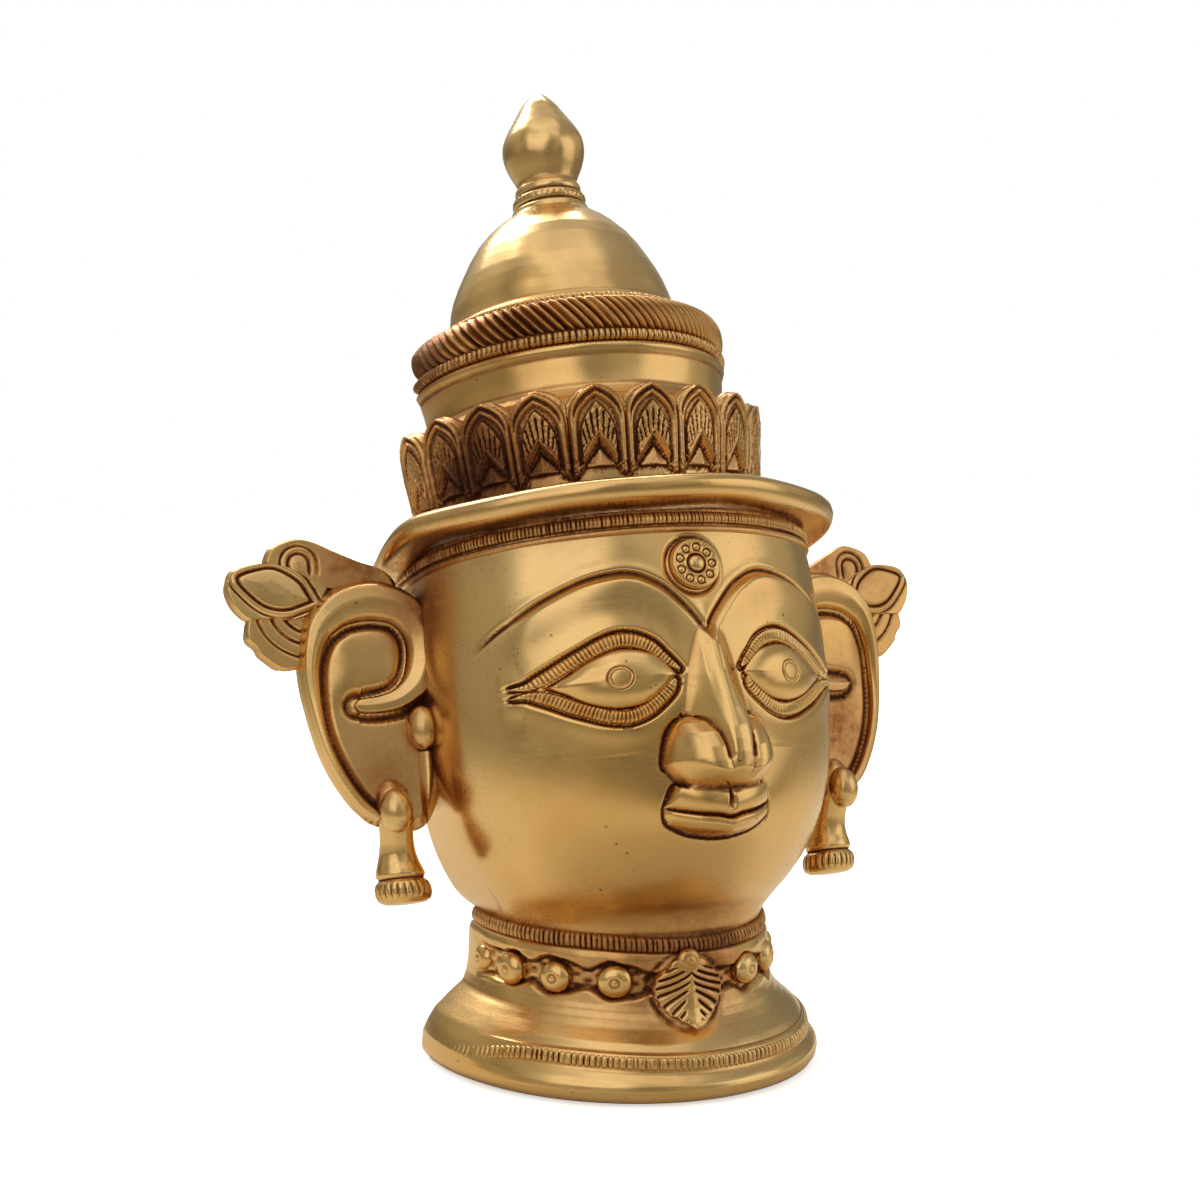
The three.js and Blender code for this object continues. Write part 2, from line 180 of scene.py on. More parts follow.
def foot_place(i, j):
    radius, height = foot_loop[j].T
    turn = foot_turns(radius, 2 * i / foot_columns - 1)
    outer = j < len(foot_outside)
    uneven = 0.12 * np.sin(5 * turn + 0.3 * height) + 0.07 * np.sin(11 * turn + 2)
    rough_strip = 0.2 * np.sin(17 * turn + 1) * np.sin(7 * turn) * hump(height - 36, 2)
    from_pendant = np.hypot((radius * np.sin(turn) + pendant_off) / 10.8, (height - 28.4) / 10.2)
    round_pendant = 0.7 * hump(from_pendant - 1.0, 0.1) * (np.abs(turn) < 0.5)
    carved = bead_hollow(height, turn) + round_pendant
    radius = radius + np.where(outer, 0.6 * uneven * step(0.5, 3, height) + rough_strip - carved, 0)
    plain_end = step_round(-50, -76, turn) * outer * (height > 3.8) * (height < 24)
    radius = radius + plain_end * (left_flare(height) - foot_loop[j, 0])
    return on_foot(radius, height + np.where(outer, hand_sway(height, turn), 0), turn)


closed_up(shaped_sheet("foot", foot_columns, len(foot_loop) - 1, foot_place))

# Notched bands of the foot and neck
# Two narrow bands, cut across with a chisel every millimetre or so: a nearly flush one on the flare and a
# raised one under the chin. They are part of the casting, so each has its roots in the wall.

band_reach = 0.9995
band_sag = 3.4


def notched_band(name, notches, line, place, per_notch=6, depth=0.5, spread=0.30, drop=0.0, slant=0.0):
    """A band whose outer face follows line, (out, up) pairs, with a cut between each two notches. A cut is
    wider at its upper end by the share drop, and slants by the share slant of a notch."""
    columns = notches * per_notch
    face_line = even_line(line, 0.42)
    share = np.linspace(-1, 1, len(face_line))
    strength = np.append(np.clip((1 - np.abs(share)) * 3.2, 0, 1), 0)
    width = np.append(spread * (1 + drop * share), spread)
    line = np.vstack([face_line, face_line[:1]])
    rng = np.random.default_rng(len(name) + notches)
    wobble = rng.normal(0, 0.16, notches + 2)
    weight = rng.uniform(0.45, 1.2, notches + 2)

    def band_place(i, j):
        phase = i / per_notch + slant * (j / len(face_line) - 0.5)
        cut = np.clip(np.rint(phase), 0, notches).astype(int)
        from_cut = np.abs(phase - cut + 0.5 * wobble[cut])
        dip = np.exp(-(from_cut / width[j]) ** 2 * 2.2) * weight[cut]
        out, up = line[j].T
        uneven = 0.1 * np.sin(0.045 * i + 1) * np.sin(0.019 * i)
        return place(out + uneven - depth * dip * strength[j], up, 2 * i / columns - 1)

    closed_up(shaped_sheet(name, columns, len(line) - 1, band_place))


def on_foot_band(out, up, share):
    """The band on the flare sags at its left end and runs out into the flare. The neck's keeps its line."""
    turn = foot_turns(out, share * band_reach)
    on_flare = up < 20
    sag = band_sag * step_round(-50, -80, turn) * on_flare
    seat = np.interp(up, [9.2, 12.7], [54.8, 54.3])
    run_out = 0.9 * step_round(-72, -86, turn) * on_flare
    out = out + (left_flare(up - sag) - seat) * sag / band_sag - run_out
    return on_foot(out, up - sag + hand_sway(up, turn), turn)


foot_band_line = [
    (53.4, 9.2), (54.9, 9.35), (55.3, 9.8), (55.15, 11.2), (54.85, 12.3), (54.4, 12.75), (53.0, 12.9),
]
notched_band("foot_band", 117, foot_band_line, on_foot_band, depth=0.7, spread=0.24, drop=-0.35)
neck_band_line = [
    (39.5, 38.1), (41.9, 38.2), (42.6, 38.8), (42.8, 40.2), (42.4, 41.7), (41.6, 42.3), (39.5, 42.4),
]
notched_band("neck_band", 100, neck_band_line, on_foot_band, depth=0.8, spread=0.24, drop=0.3, slant=0.45)

# Neck beads
# Flat round beads, cast in one with the neck and standing out of the dark hollow that runs round it.
# A small ring is punched into the middle of each.

bead_ring, bead_reach = 42.4, 3.2


def neck_bead(name, turn, wide, tall):
    around, rings = 40, 28
    ring = bead_ring - 0.9 * (turn < -1.4)
    sine, cosine = math.sin(turn), math.cos(turn)

    def bead_place(i, j):
        spin = 2 * np.pi * i / around
        tilt = np.pi * j / rings
        punched = 0.08 * hump(tilt - 0.23, 0.07) - 0.03 * hump(tilt, 0.1)
        size = 1 - punched - 0.04 * hump(tilt, 0.45)
        width = size * np.clip(np.sin(tilt), 0, 1) ** 0.85
        across = wide * width * np.cos(spin)
        up = tall * width * np.sin(spin)
        forward = bead_reach * size * np.cos(tilt)
        x = ring * sine + forward * sine + across * cosine
        y = foot_centre - foot_depth * ring * cosine - forward * cosine + across * sine
        return (x, y, bead_height + up)

    closed_up(shaped_sheet(name, around, rings, bead_place))


for number, degrees in enumerate(bead_turns):
    bead_wide = 5.0 - 0.2 * (number % 3)
    bead_tall = 4.4 + 0.2 * (number % 2)
    if number == 0:
        bead_wide, bead_tall = 4.4, 4.2
    neck_bead(f"neck_bead_{number + 1}", math.radians(degrees), bead_wide, bead_tall)

# Neck pendant
# A palmette hangs in front over the neck and the top of the flare: a ringed bud, a scalloped fan chased
# with curved flutes, and a small oval bead. It is cast in one with the neck.

pendant_edge = [
    (0, 17.9), (1.7, 19.0), (3.4, 19.7), (4.6, 20.8), (6.4, 21.3), (7.3, 22.4), (8.6, 23.4), (9.0, 24.8),
    (10.0, 26.0), (9.9, 27.4), (10.3, 28.7), (9.6, 30.0), (9.5, 31.2), (8.2, 32.2), (7.4, 33.4),
    (5.9, 34.0), (4.9, 35.6), (3.0, 36.4), (0, 36.8),
]
flare_line = np.array([(16.2, 49.9), (19.2, 46.4), (23.2, 44.3), (27, 43.6), (32, 43.4), (37, 42.8)])


def patch(name, outline, centre, around, rings, level, place, root, bevel=(0, 0)):
    """A leaf or plate inside an outline. level gives its height by place and by share, 0 at the centre and
    1 at the edge. bevel is how deep and how far in its edge is rounded off behind, and root is how far it
    goes down from there into what carries it."""
    outline = np.array(outline, float)
    ring = smooth_line(np.vstack([outline, outline[:1]]), around + 1)
    away = ring - centre
    distance = np.linalg.norm(away, axis=1)[:, None]
    bevel_rows = 5 if bevel[0] else 0

    def patch_place(i, j):
        share = np.clip(j / rings, 0, 1)
        past = np.clip(j - rings, 0, None) / max(bevel_rows, 1)
        inward = (1 - bevel[1] * past ** 1.6 / distance[i, 0]) * share
        flat = centre + away[i] * inward[:, None]
        return place(flat[:, 0], flat[:, 1], level(flat[:, 0], flat[:, 1], share) - bevel[0] * past)

    closed_up(shaped_sheet(name, around, rings + bevel_rows, patch_place), root)


def on_pendant(x, z, level):
    x = x - pendant_off
    out = np.interp(z, *flare_line.T)
    return (x, foot_centre - foot_depth * (out - x * x / (2 * out)) - level, z)


def pendant_level(x, z, share):
    ax = np.abs(x)
    droop = (4.4 + 3.6 * step(28, 19, z)) * (ax / 9.8) ** 0.6
    phase = (z + droop - 17.2) / 1.95
    cut = hump(phase - np.rint(phase), 0.17)
    carved = step(1.7, 2.7, ax + 0.25 * np.clip(z - 24, 0, None) * (z < 33)) * step(1.0, 0.9, share)
    stem = 0.5 * hump(ax, 1.5) * step(20.5, 24, z) * step(34, 30, z)
    flutes = 1.1 * cut * carved * step(34.6, 33, z)
    return 1.4 + 1.0 * np.sqrt(np.clip(1 - share ** 4, 0, 1)) - flutes + stem


pendant_outline = pendant_edge + [(-x, z) for x, z in pendant_edge[-2:0:-1]]
patch("pendant_leaf", pendant_outline, np.array([0, 27.0]), 200, 44, pendant_level, on_pendant, (0, 2.6, 0))


def ball(name, centre, size, place, dent=0.0, around=28, rings=20):
    """A rounded boss. centre and size are (across, up, out), and dent is how deep its ring is punched."""

    def ball_place(i, j):
        spin = 2 * np.pi * i / around
        tilt = np.pi * j / rings
        grow = 1 - dent * hump(tilt - 0.55, 0.13)
        return place(centre[0] + size[0] * grow * np.sin(tilt) * np.cos(spin),
                     centre[1] + size[1] * grow * np.sin(tilt) * np.sin(spin),
                     centre[2] + size[2] * grow * np.cos(tilt))

    closed_up(shaped_sheet(name, around, rings, ball_place))


ball("pendant_bud", (0, 35.9, 1.0), (3.4, 3.1, 2.2), on_pendant, dent=0.14)
ball("pendant_drop", (0, 28.0, 2.2), (1.25, 1.45, 0.9), on_pendant)

# Face
# The front of the head, smooth polished brass that is widest at the temples. Brow lines, eyes, nose and
# mouth are modelled in the wax and sharpened with a chisel after casting, which leaves the dark lines.

lean = math.radians(16)
pivot_y, pivot_z = -2.0, 45.8
face_width, face_front, face_middle, face_rear = 0.934, 0.844, -0.22, 2.0
wall_thickness = 4.5
mark_x, mark_height = -1.2, 82.9


def from_head(x, y, z):
    """From the head's own frame, which leans back, to the mask's."""
    forward = pivot_y + y * math.cos(lean) + z * math.sin(lean)
    return (x, forward, pivot_z - y * math.sin(lean) + z * math.cos(lean))


def face_radius(z):
    below = 64.4 * np.sqrt(np.clip(1 - np.clip((66 - z) / 84, 0, 1) ** 3, 0, 1))
    above = 64.4 - 1.9 * (np.clip(z - 66, 0, None) / 30) ** 2
    return np.where(z > 66, above, below)


def face_section(radius, turn):
    """The plain head's outline seen from above. Behind its widest place it runs almost straight back."""
    reach = np.where(np.cos(turn) > 0, face_front, face_rear)
    return (face_width * radius * np.sin(turn), (face_middle - reach * np.cos(turn)) * radius)


def face_end(back, radius):
    """How far round that outline goes before it meets a cut that far behind the head's middle."""
    return np.pi / 2 + np.arcsin(np.clip((back - face_middle * radius) / (face_rear * radius), -1, 1))


def stood_off(x, y, turn, lift):
    """A place on that outline, moved square to it by lift."""
    out_x = np.sin(turn) / face_width
    out_y = -np.cos(turn) / face_front
    length = np.hypot(out_x, out_y)
    return x + out_x / length * lift, y + out_y / length * lift


def face_depth(x, z):
    """How far forward the plain face lies at a place in its front view."""
    radius = face_radius(z)
    side = np.clip(x / (face_width * radius), -0.999, 0.999)
    return face_section(radius, np.arcsin(side))[1]


def near(x, z, line):
    """Distance from each place to a line of (x, z, half width) points, and the half width there."""
    away = np.full(x.shape, 1e9)
    width = np.zeros(x.shape)
    for px, pz, half in line:
        gap = np.hypot(x - px, z - pz)
        closer = gap < away
        away[closer] = gap[closer]
        width[closer] = half
    return away, width


upper_lid = smooth_line([
    (49.2, 54.1, 0.1), (45.8, 54.0, 1.05), (43, 55.1, 1.6), (40, 56.6, 1.75), (36.5, 58.6, 1.75),
    (33, 60.4, 1.75), (28, 62.6, 1.9), (24, 63.5, 1.95), (20, 62.9, 1.9), (16.2, 61.0, 1.7),
    (13.3, 58.2, 1.35), (11.2, 56.2, 1.1), (9.3, 54.6, 0.5),
], 130)
lower_lid = smooth_line([
    (48.8, 51.5, 0.1), (45.6, 51.7, 1.0), (43, 50.8, 1.5), (40, 49.3, 1.75), (36.5, 47.2, 1.8),
    (33, 45.5, 1.8), (28, 43.6, 1.9), (23, 43.0, 1.9), (18.6, 44.4, 1.85), (14.8, 47.0, 1.7),
    (12.4, 49.2, 1.6), (11.3, 50.7, 1.3), (10.7, 51.7, 0.7),
], 130)
eye_opening = [
    (9.9, 53.2), (11.6, 55.3), (14.6, 58.2), (18.4, 60.1), (24.6, 61.0), (31, 59.0), (36, 56.0),
    (40.4, 53.0), (37, 50.2), (32, 47.1), (25.5, 45.4), (18.6, 46.3), (13.2, 49.8), (11.2, 51.8),
]
brow_line = smooth_line([
    (0.3, 65.3), (3, 69.4), (6.8, 73.9), (10.4, 77.4), (14.4, 79.9), (18, 81.4), (23, 81.9), (32, 80.4),
    (42.5, 75.8), (50, 70.6), (55.4, 65.2),
], 160)
# Each row of the nose: height, ridge, and half widths at the ridge and at the foot of the flank.
nose_rows = np.array([
    (69.5, -66.6, 1.2, 2.0), (66, -69.2, 1.8, 2.9), (60, -72.0, 2.0, 4.6), (53, -74.2, 2.2, 6.6),
    (47, -76.8, 2.3, 7.6), (42, -78.8, 2.4, 8.3), (37, -80.4, 2.6, 9.2), (33.5, -80.9, 2.7, 10.0),
    (30, -80.9, 2.8, 10.6), (26, -80.2, 2.9, 11.0), (20, -79.0, 3.0, 11.0),
])
mouth_half = [(15.5, 18.3), (14.4, 21.4), (12.9, 23.7), (9.6, 22.9), (5, 22.0), (0, 21.6)]
chin_half = [(0, 9.7), (5, 10.2), (9.6, 11.3), (14.1, 13.8), (15.3, 15.8), (15.5, 18.3)]
mouth_edge = mouth_half + [(-x, z) for x, z in mouth_half[-2:0:-1]] + [(-15.5, 18.3)] + [
    (-x, z) for x, z in chin_half[-2:0:-1]] + chin_half
mouth_outline = np.column_stack([smooth_line(mouth_edge, 160), np.zeros(160)])


def brow_lift(ax, z):
    """Groove along the brow line, then a bright bevel and the swell of the socket under it."""
    order = np.argsort(brow_line[:, 0])
    line_z = np.interp(ax, brow_line[order, 0], brow_line[order, 1])
    slope = np.gradient(brow_line[order, 1], brow_line[order, 0])
    tilt = np.interp(ax, brow_line[order, 0], slope)
    below = (line_z - z) / np.sqrt(1 + tilt ** 2)
    end = step(55.5, 40, ax)
    groove = -0.95 * hump(below, 0.62) * step(56.5, 49, ax)
    bevel = 1.75 * step(0.3, 2.7, below) * (1 - 0.85 * step(2.5, 15, below))
    lip = 0.22 * hump(below + 1.6, 1.2)
    return (groove + (bevel + lip) * end) * step(-8, -5, below) * (ax < 57)


def eye_lift(ax, z):
    """The eye's dark lines, the swell outside them and the socket that the ball lies in."""
    lift = np.zeros(ax.shape)
    area = (ax > 3) & (ax < 55) & (z > 33) & (z < 74)
    x, h = ax[area], z[area]
    up, up_half = near(x, h, upper_lid)
    low, low_half = near(x, h, lower_lid)
    outside = np.minimum(up - up_half, low - low_half)
    local = 0.9 * hump(np.clip(outside - 0.8, 0, None), 4.5)
    line = hump(outside - 0.45, 0.5)
    line = line * (1 - 0.8 * hump(up - low, 1.3) * step(40, 44, x))
    local = (local * (1 - 0.8 * line) - 1.25 * line) * step(51.5, 48.5, x)
    lift[area] = np.where(outside < 0.1, -0.5 * step(51.5, 48.5, x), local)
    return lift


def wing_reach(ax, z, base):
    """How far forward the nostril's rounded wing stands, and how near its rim each place is."""
    rise = np.sqrt(np.clip(1 - (np.clip(z - 28, 0, None) / 13.6) ** 2, 0, 1))
    outer = 9.3 + 6.4 * rise ** 0.9 - 2.8 * np.clip((29.5 - z) / 4.5, 0, 1.4) ** 1.5
    inner = 9.3 - 6.5 * rise ** 0.6
    share = (outer - ax) / np.clip(outer - inner, 0.05, None)
    inner_reach = np.interp(z, [26, 28, 32, 36, 39.6, 41.6], [79.4, 79.4, 78.8, 76.8, 73.2, 69.0])
    swell = (1 - np.clip(1 - share, 0, 1) ** 2.2) ** 0.62
    reach = base + (inner_reach - base) * swell + 3.0 * np.clip(share * (1 - share), 0, 1) * step(41, 34, z)
    inside = (share > 0) & (share < 1) & (z < 41.6)
    rim = np.minimum((outer - ax), (ax - inner)) * np.where(z > 36, 0.8, 1)
    return np.where(inside, reach, 0), np.where(z < 42.6, rim, -9), share


def nose_reach(ax, z):
    """The nose: its ridge and flanks, the nostrils' wings with the lines round them, and its underside."""
    h = np.clip(z, 20, 69.5)
    base = -face_depth(ax, h)
    down = nose_rows[::-1]
    ridge = -np.interp(h, down[:, 0], down[:, 1])
    half = np.interp(h, down[:, 0], down[:, 2])
    foot_half = np.interp(h, down[:, 0], down[:, 3])
    beyond = ax - half
    rounded = (np.sqrt(beyond ** 2 + 1.7) + beyond - np.sqrt(half ** 2 + 1.7) + half) / 2
    flank_share = np.clip(rounded / (1.2 * foot_half - half), 0, 1)
    rounding = 0.3 * np.clip(ax / half, 0, 1) ** 3
    fall_away = 0.6 * (1 - flank_share) ** 2 + 0.4 * (1 - flank_share ** 2 * (3 - 2 * flank_share))
    flank = base + (ridge - rounding - base) * fall_away
    wing, rim, share = wing_reach(ax, h, base)
    front = np.maximum(flank, wing)
    inner_line = hump(rim - 0.1, 0.6) * (share > 0.5) * step(28, 29.5, z)
    outer_line = hump(rim + 0.1, 0.6) * (share <= 0.5) * step(26.8, 28.2, z)
    front = front - 1.15 * np.clip(inner_line + 0.9 * outer_line, 0, 1) * step(43.5, 41.5, z)
    steep = 2.14 - 0.75 * np.clip((ax - 5) / 9, 0, 1)
    under = 72 + steep * (z - 21.6 - 0.22 * np.clip(ax - 5, 0, None) ** 1.35)
    blend = np.clip(0.5 + 0.5 * (front - under) / 1.8, 0, 1)
    front = front * (1 - blend) + under * blend - 1.8 * blend * (1 - blend)
    nose = np.clip(front + np.where(z > 69.5, -base, face_depth(ax, z)), 0, None) * step(74, 69.5, z)
    return np.where((outer_line > 0.02) & (nose < 0.5), np.minimum(nose, 0) - 0.9 * outer_line, nose)


def lips(x, z, plain, forward):
    """The full lips, the slit between them, the drop over it and the fine line round them."""
    edge_gap = near(x, z, mouth_outline)[0]
    top = np.interp(x, *np.array(mouth_half[::-1])[:4].T)
    low = np.interp(x, *np.array(chin_half).T)
    inside = (x < 15.5) & (z < np.where(x < 12.9, top, 23.7 - 2.1 * (x - 12.9))) & (z > low)
    gap = np.where(inside, edge_gap, -edge_gap)
    fall = np.interp(z, [8, 24], [8.6, 6.2]) * (x / 15) ** 2.3
    line = 14.9 + 3.4 * (x / 15.4) ** 2 - 0.7 * hump(x, 2.4)
    from_line = z - line
    upper = 70.6 + 1.5 * np.clip(1 - ((from_line - 4.4) / 4.4) ** 2, 0, 1)
    lower = np.interp(from_line, [-6, -4.6, -2.6, -1.2, 0], [65.6, 68.2, 70.5, 70.8, 70.0])
    lip = np.where(from_line > 0, upper, lower) - fall + plain
    slit = 1.5 * hump(from_line, 0.42) * step(15.4, 14.4, x)
    drop_half = 0.42 + 0.12 * np.clip(21.8 - z, 0, 4)
    drop = 1.5 * np.clip(1 - (np.abs(z - 18.9) / 2.9) ** 2.5, 0, 1) * hump(x, drop_half, 4)
    hold = np.clip(gap / 1.1, 0, 1) ** 0.5
    lip = lip * hold + forward * (1 - hold) - slit - drop
    return np.where(gap > 0, lip, forward) - hump(gap + 0.3, 0.45)


def nose_and_mouth(ax, z, plain):
    """How far forward of the plain face the nose and mouth stand, in the head's frame."""
    nose = nose_reach(ax, z)
    muzzle = 4.9 * np.exp(-((ax / 21) ** 2 + ((z - 13.5) / 13) ** 2))
    blended = (nose + muzzle + np.sqrt((nose - muzzle) ** 2 + 0.8 * muzzle)) / 2
    forward = blended - np.where(nose < 0, -nose, 0)
    area = (ax < 22) & (z > 2) & (z < 28)
    forward[area] = lips(ax[area], z[area], plain[area], forward[area])
    return forward


face_x = np.concatenate([-np.linspace(48.2, 0.37, 130), [0], np.linspace(0.37, 48.2, 130)])
face_front_turn = np.arcsin(face_x / (face_width * 64.0))
face_side = np.linspace(0, 1, 34)[1:]
face_columns = len(face_x) + 2 * len(face_side) - 1
face_heights = np.concatenate([
    np.linspace(-7, 5.6, 17), np.arange(6, 84.2, 0.375), np.linspace(84.8, 99, 20),
])
face_wall = np.array([98, 86, 72, 58, 44, 30, 18, 10])
under_chin = 14
jaw_line, jaw_top = 50, 14
neck_outside, neck_inside, neck_top = 41.0, 36.2, 41.7
face_rows = under_chin + len(face_heights) + len(face_wall) + 1


def face_turn(i, low, radius):
    """How far round the head a column lies at that height, and how far round the back cut is."""
    side_count = len(face_side)
    front = face_front_turn[np.clip(i - side_count, 0, len(face_x) - 1)]
    left = np.clip(side_count - 1 - i, 0, side_count - 1)
    right = np.clip(i - side_count - len(face_x), 0, side_count - 1)
    on_left = i < side_count
    on_right = i >= side_count + len(face_x)
    beyond = np.where(on_left, face_side[left], np.where(on_right, face_side[right], 0))
    back = np.maximum(9.0, (16 - low * math.sin(lean)) / math.cos(lean))
    end_turn = face_end(back, radius)
    edge_turn = face_front_turn[-1]
    sign = np.where(on_left, -1.0, 1.0)
    return np.where(beyond > 0, sign * (edge_turn + (end_turn - edge_turn) * beyond), front), end_turn


def jaw_height(i):
    """Where each column of the face turns in under the jaw, in the head's frame."""
    low = np.zeros(i.shape)
    for _ in range(12):
        radius = face_radius(low)
        y = face_section(radius, face_turn(i, low, radius)[0])[1]
        low = 0.5 * low + 0.5 * (jaw_line - pivot_z + y * math.sin(lean)) / math.cos(lean)
    return low


def face_skin(i, low, inset):
    """The carved skin of the face, or the plain inside of its wall where inset is more than 0."""
    outer = inset == 0
    radius = np.clip(face_radius(low) - inset, 12, None)
    turn = face_turn(i, low, radius)[0]
    x, y = face_section(radius, turn)
    facing = outer & (np.cos(turn) > 0.02)
    lift = np.zeros(x.shape)
    forward = np.zeros(x.shape)
    ax = np.abs(x[facing])
    z = low[facing]
    round_mark = 0.8 * hump(np.hypot(x[facing] - mark_x, z - mark_height) - 7.9, 0.7)
    lift[facing] = eye_lift(ax, z) + brow_lift(ax, z) - round_mark
    wider = np.interp(ax, [0, 4.9, 12, 80], [0, 3.2, 12, 80]) - ax
    nose_x = ax + wider * (x[facing] > 0) * step(23, 28, z) * step(52, 38, z)
    forward[facing] = nose_and_mouth(nose_x, z, y[facing])
    uneven = 0.05 * np.sin(x / 9 + 1) * np.sin(low / 11) + 0.03 * np.sin(x / 3.7) * np.sin(low / 5 + 2)
    x, y = stood_off(x, y, turn, lift + uneven * outer)
    return np.column_stack(from_head(x, y - forward, low))


def neck_ring(i, low, radius):
    """The face's lower edge, where the chin runs down into the neck."""
    turn, end_turn = face_turn(i, low, face_radius(low))
    turn = turn / end_turn * foot_turns(radius, 1)
    return np.column_stack(on_foot(radius, neck_top + hand_sway(neck_top, turn), turn))


def face_place(i, j):
    jaw = jaw_height(i)
    k = np.clip(j - under_chin, 0, len(face_heights) - 1)
    height = face_heights[k]
    drawn_up = jaw_top - (jaw_top - height) * (jaw_top - jaw) / (jaw_top - face_heights[0])
    low = np.where(height < jaw_top, drawn_up, height)
    wall_row = np.clip(j - under_chin - len(face_heights), 0, len(face_wall) - 1)
    inside = j >= under_chin + len(face_heights)
    low = np.where(inside, np.maximum(face_wall[wall_row], jaw), low)
    inset = np.where(inside & (wall_row > 0), wall_thickness, 0)
    points = face_skin(i, low, inset)
    under = j < under_chin
    share = (1 - j[under] / under_chin)[:, None]
    start = face_skin(i[under], jaw[under], np.zeros(under.sum()))
    above = face_skin(i[under], jaw[under] + 0.8, np.zeros(under.sum()))
    end = neck_ring(i[under], jaw[under], neck_outside)
    reach = 0.5 * np.linalg.norm(end - start, axis=1)[:, None]
    middle = start + (start - above) / np.linalg.norm(start - above, axis=1)[:, None] * reach
    points[under] = start * (1 - share) ** 2 + middle * 2 * share * (1 - share) + end * share ** 2
    low_end = j >= face_rows - 1
    points[low_end] = neck_ring(i[low_end], jaw[low_end], neck_inside)
    last = j == face_rows
    points[last] = neck_ring(i[last], jaw[last], neck_outside)
    return points.T


closed_up(shaped_sheet("face", face_columns, face_rows, face_place))

# Eyelids
# A raised band runs over and under each eye and is cut across with a fine chisel, like lashes.
# Between it and the ball there is a deep line, and another outside it.

both_sides = (("left", -1), ("right", 1))


def on_face(x, z, level):
    """A place on the front of the face, by its front view, stood off the surface by level."""
    radius = face_radius(z)
    side = np.clip(x / (face_width * radius), -0.995, 0.995)
    turn = np.arcsin(side)
    return from_head(*stood_off(*face_section(radius, turn), turn, level), z)


def roll(name, line, across, profile, place, root, notch=None):
    """A raised strip along a line of (x, z, half width) points. profile is its height, -1 to 1 across."""
    line = np.array(line)
    along = len(line) - 1
    run = np.gradient(line[:, :2], axis=0)
    run /= np.linalg.norm(run, axis=1)[:, None]
    normal = np.column_stack([-run[:, 1], run[:, 0]])

    def roll_place(i, j):
        t = 2 * j / across - 1
        x = line[i, 0] + normal[i, 0] * line[i, 2] * t
        z = line[i, 1] + normal[i, 1] * line[i, 2] * t
        level = profile(t, i / along)
        if notch is not None:
            level = level - notch(i, t)
        return place(x, z, level)

    closed_up(shaped_sheet(name, along, across, roll_place), root)


def lid_profile(t, along):
    return 1.25 * np.clip(1 - np.abs(t) ** 3.2, 0, 1) ** 0.6 - 0.1


def lid(name, line, side):
    notches, per_notch = 44, 7
    path = smooth_line(line, notches * per_notch + 1) * (side, 1, 1)
    rng = np.random.default_rng(7)
    weight = rng.uniform(0.7, 1.1, notches + 2)

    def lid_notch(i, t):
        phase = i / per_notch
        cut = np.rint(phase).astype(int)
        ends = np.clip(np.minimum(phase - 1.5, notches - 0.5 - phase) / 2, 0, 1)
        return 0.62 * ends * weight[cut] * hump(phase - cut, 0.26) * np.clip((1 - np.abs(t)) * 4, 0, 1)

    roll(name, path, 12, lid_profile, on_face, (0, 2.2, 0), lid_notch)


for side_name, side in both_sides:
    lid(f"upper_lid_{side_name}", upper_lid, side)
    lid(f"lower_lid_{side_name}", lower_lid, side)

# Eyeballs
# Each ball is a smooth polished swelling inside the lids. A double ring is punched near its middle.

eye_x, eye_height = 24.7, 53.1


def eyeball(name, side, ring_depth):
    def ball_level(x, z, share):
        from_ring = np.hypot(np.abs(x) - eye_x, z - eye_height)
        ring = 0.2 * hump(from_ring - 2.66, 0.2) - 0.26 * hump(from_ring - 3.14, 0.17)
        ring -= 0.18 * hump(from_ring - 2.2, 0.15)
        return 0.1 + 3.1 * np.clip(1 - share ** 2.3, 0, 1) ** 0.6 + ring_depth * ring

    outline = [(side * x, z) for x, z in eye_opening]
    patch(name, outline, np.array([side * eye_x, eye_height]), 130, 74, ball_level, on_face, (0, 1.6, 0))


eyeball("eyeball_left", -1, 1.0)
eyeball("eyeball_right", 1, 0.8)

# Forehead mark
# A round boss stands on the forehead between the brows: a raised rim, a ring of small punched circles and
# a domed middle.

mark_reach, dot_ring, dot_count = 7.2, 4.95, 9


def mark_level(x, z, share):
    spoke = np.arctan2(z - mark_height, x - mark_x)
    r = share * 7.6
    rim = 0.5 * hump(r - 6.7, 0.6)
    middle = 1.1 * np.sqrt(np.clip(1 - (r / 2.35) ** 2, 0, 1))
    collar = 0.3 * hump(r - 3.25, 0.3) - 0.5 * hump(r - 2.7, 0.3)
    nearest = np.rint(spoke / (2 * np.pi / dot_count)) * (2 * np.pi / dot_count)
    across = r * np.cos(spoke) - dot_ring * np.cos(nearest)
    from_dot = np.hypot(across, r * np.sin(spoke) - dot_ring * np.sin(nearest))
    dots = 0.28 * hump(from_dot, 0.6) - 0.42 * hump(from_dot - 1.12, 0.24)
    edge = np.clip((1 - share) / 0.07, 0, 1) ** 0.5
    return (2.1 + rim + middle + collar + dots) * edge


mark_centre = np.array([mark_x, mark_height])
mark_outline = [(mark_x + mark_reach * math.cos(spoke), mark_height + mark_reach * math.sin(spoke))
                for spoke in np.linspace(0, 2 * np.pi, 25)[:-1]]
patch("forehead_mark", mark_outline, mark_centre, 180, 44, mark_level, on_face, (0, 2.5, 0))

# Brim
# A broad flat-edged ring stands out over the forehead, thick and rounded at its rim, and its two ends
# draw in and droop behind the ears. Under it, against the forehead, run a plain cord and a notched band.

crown_depth = 1.064
head_back = 9.0


def on_crown(radius, height, turn):
    """A point round the crown, in the leaning head's frame."""
    return from_head(radius * np.sin(turn), -crown_depth * radius * np.cos(turn), height)


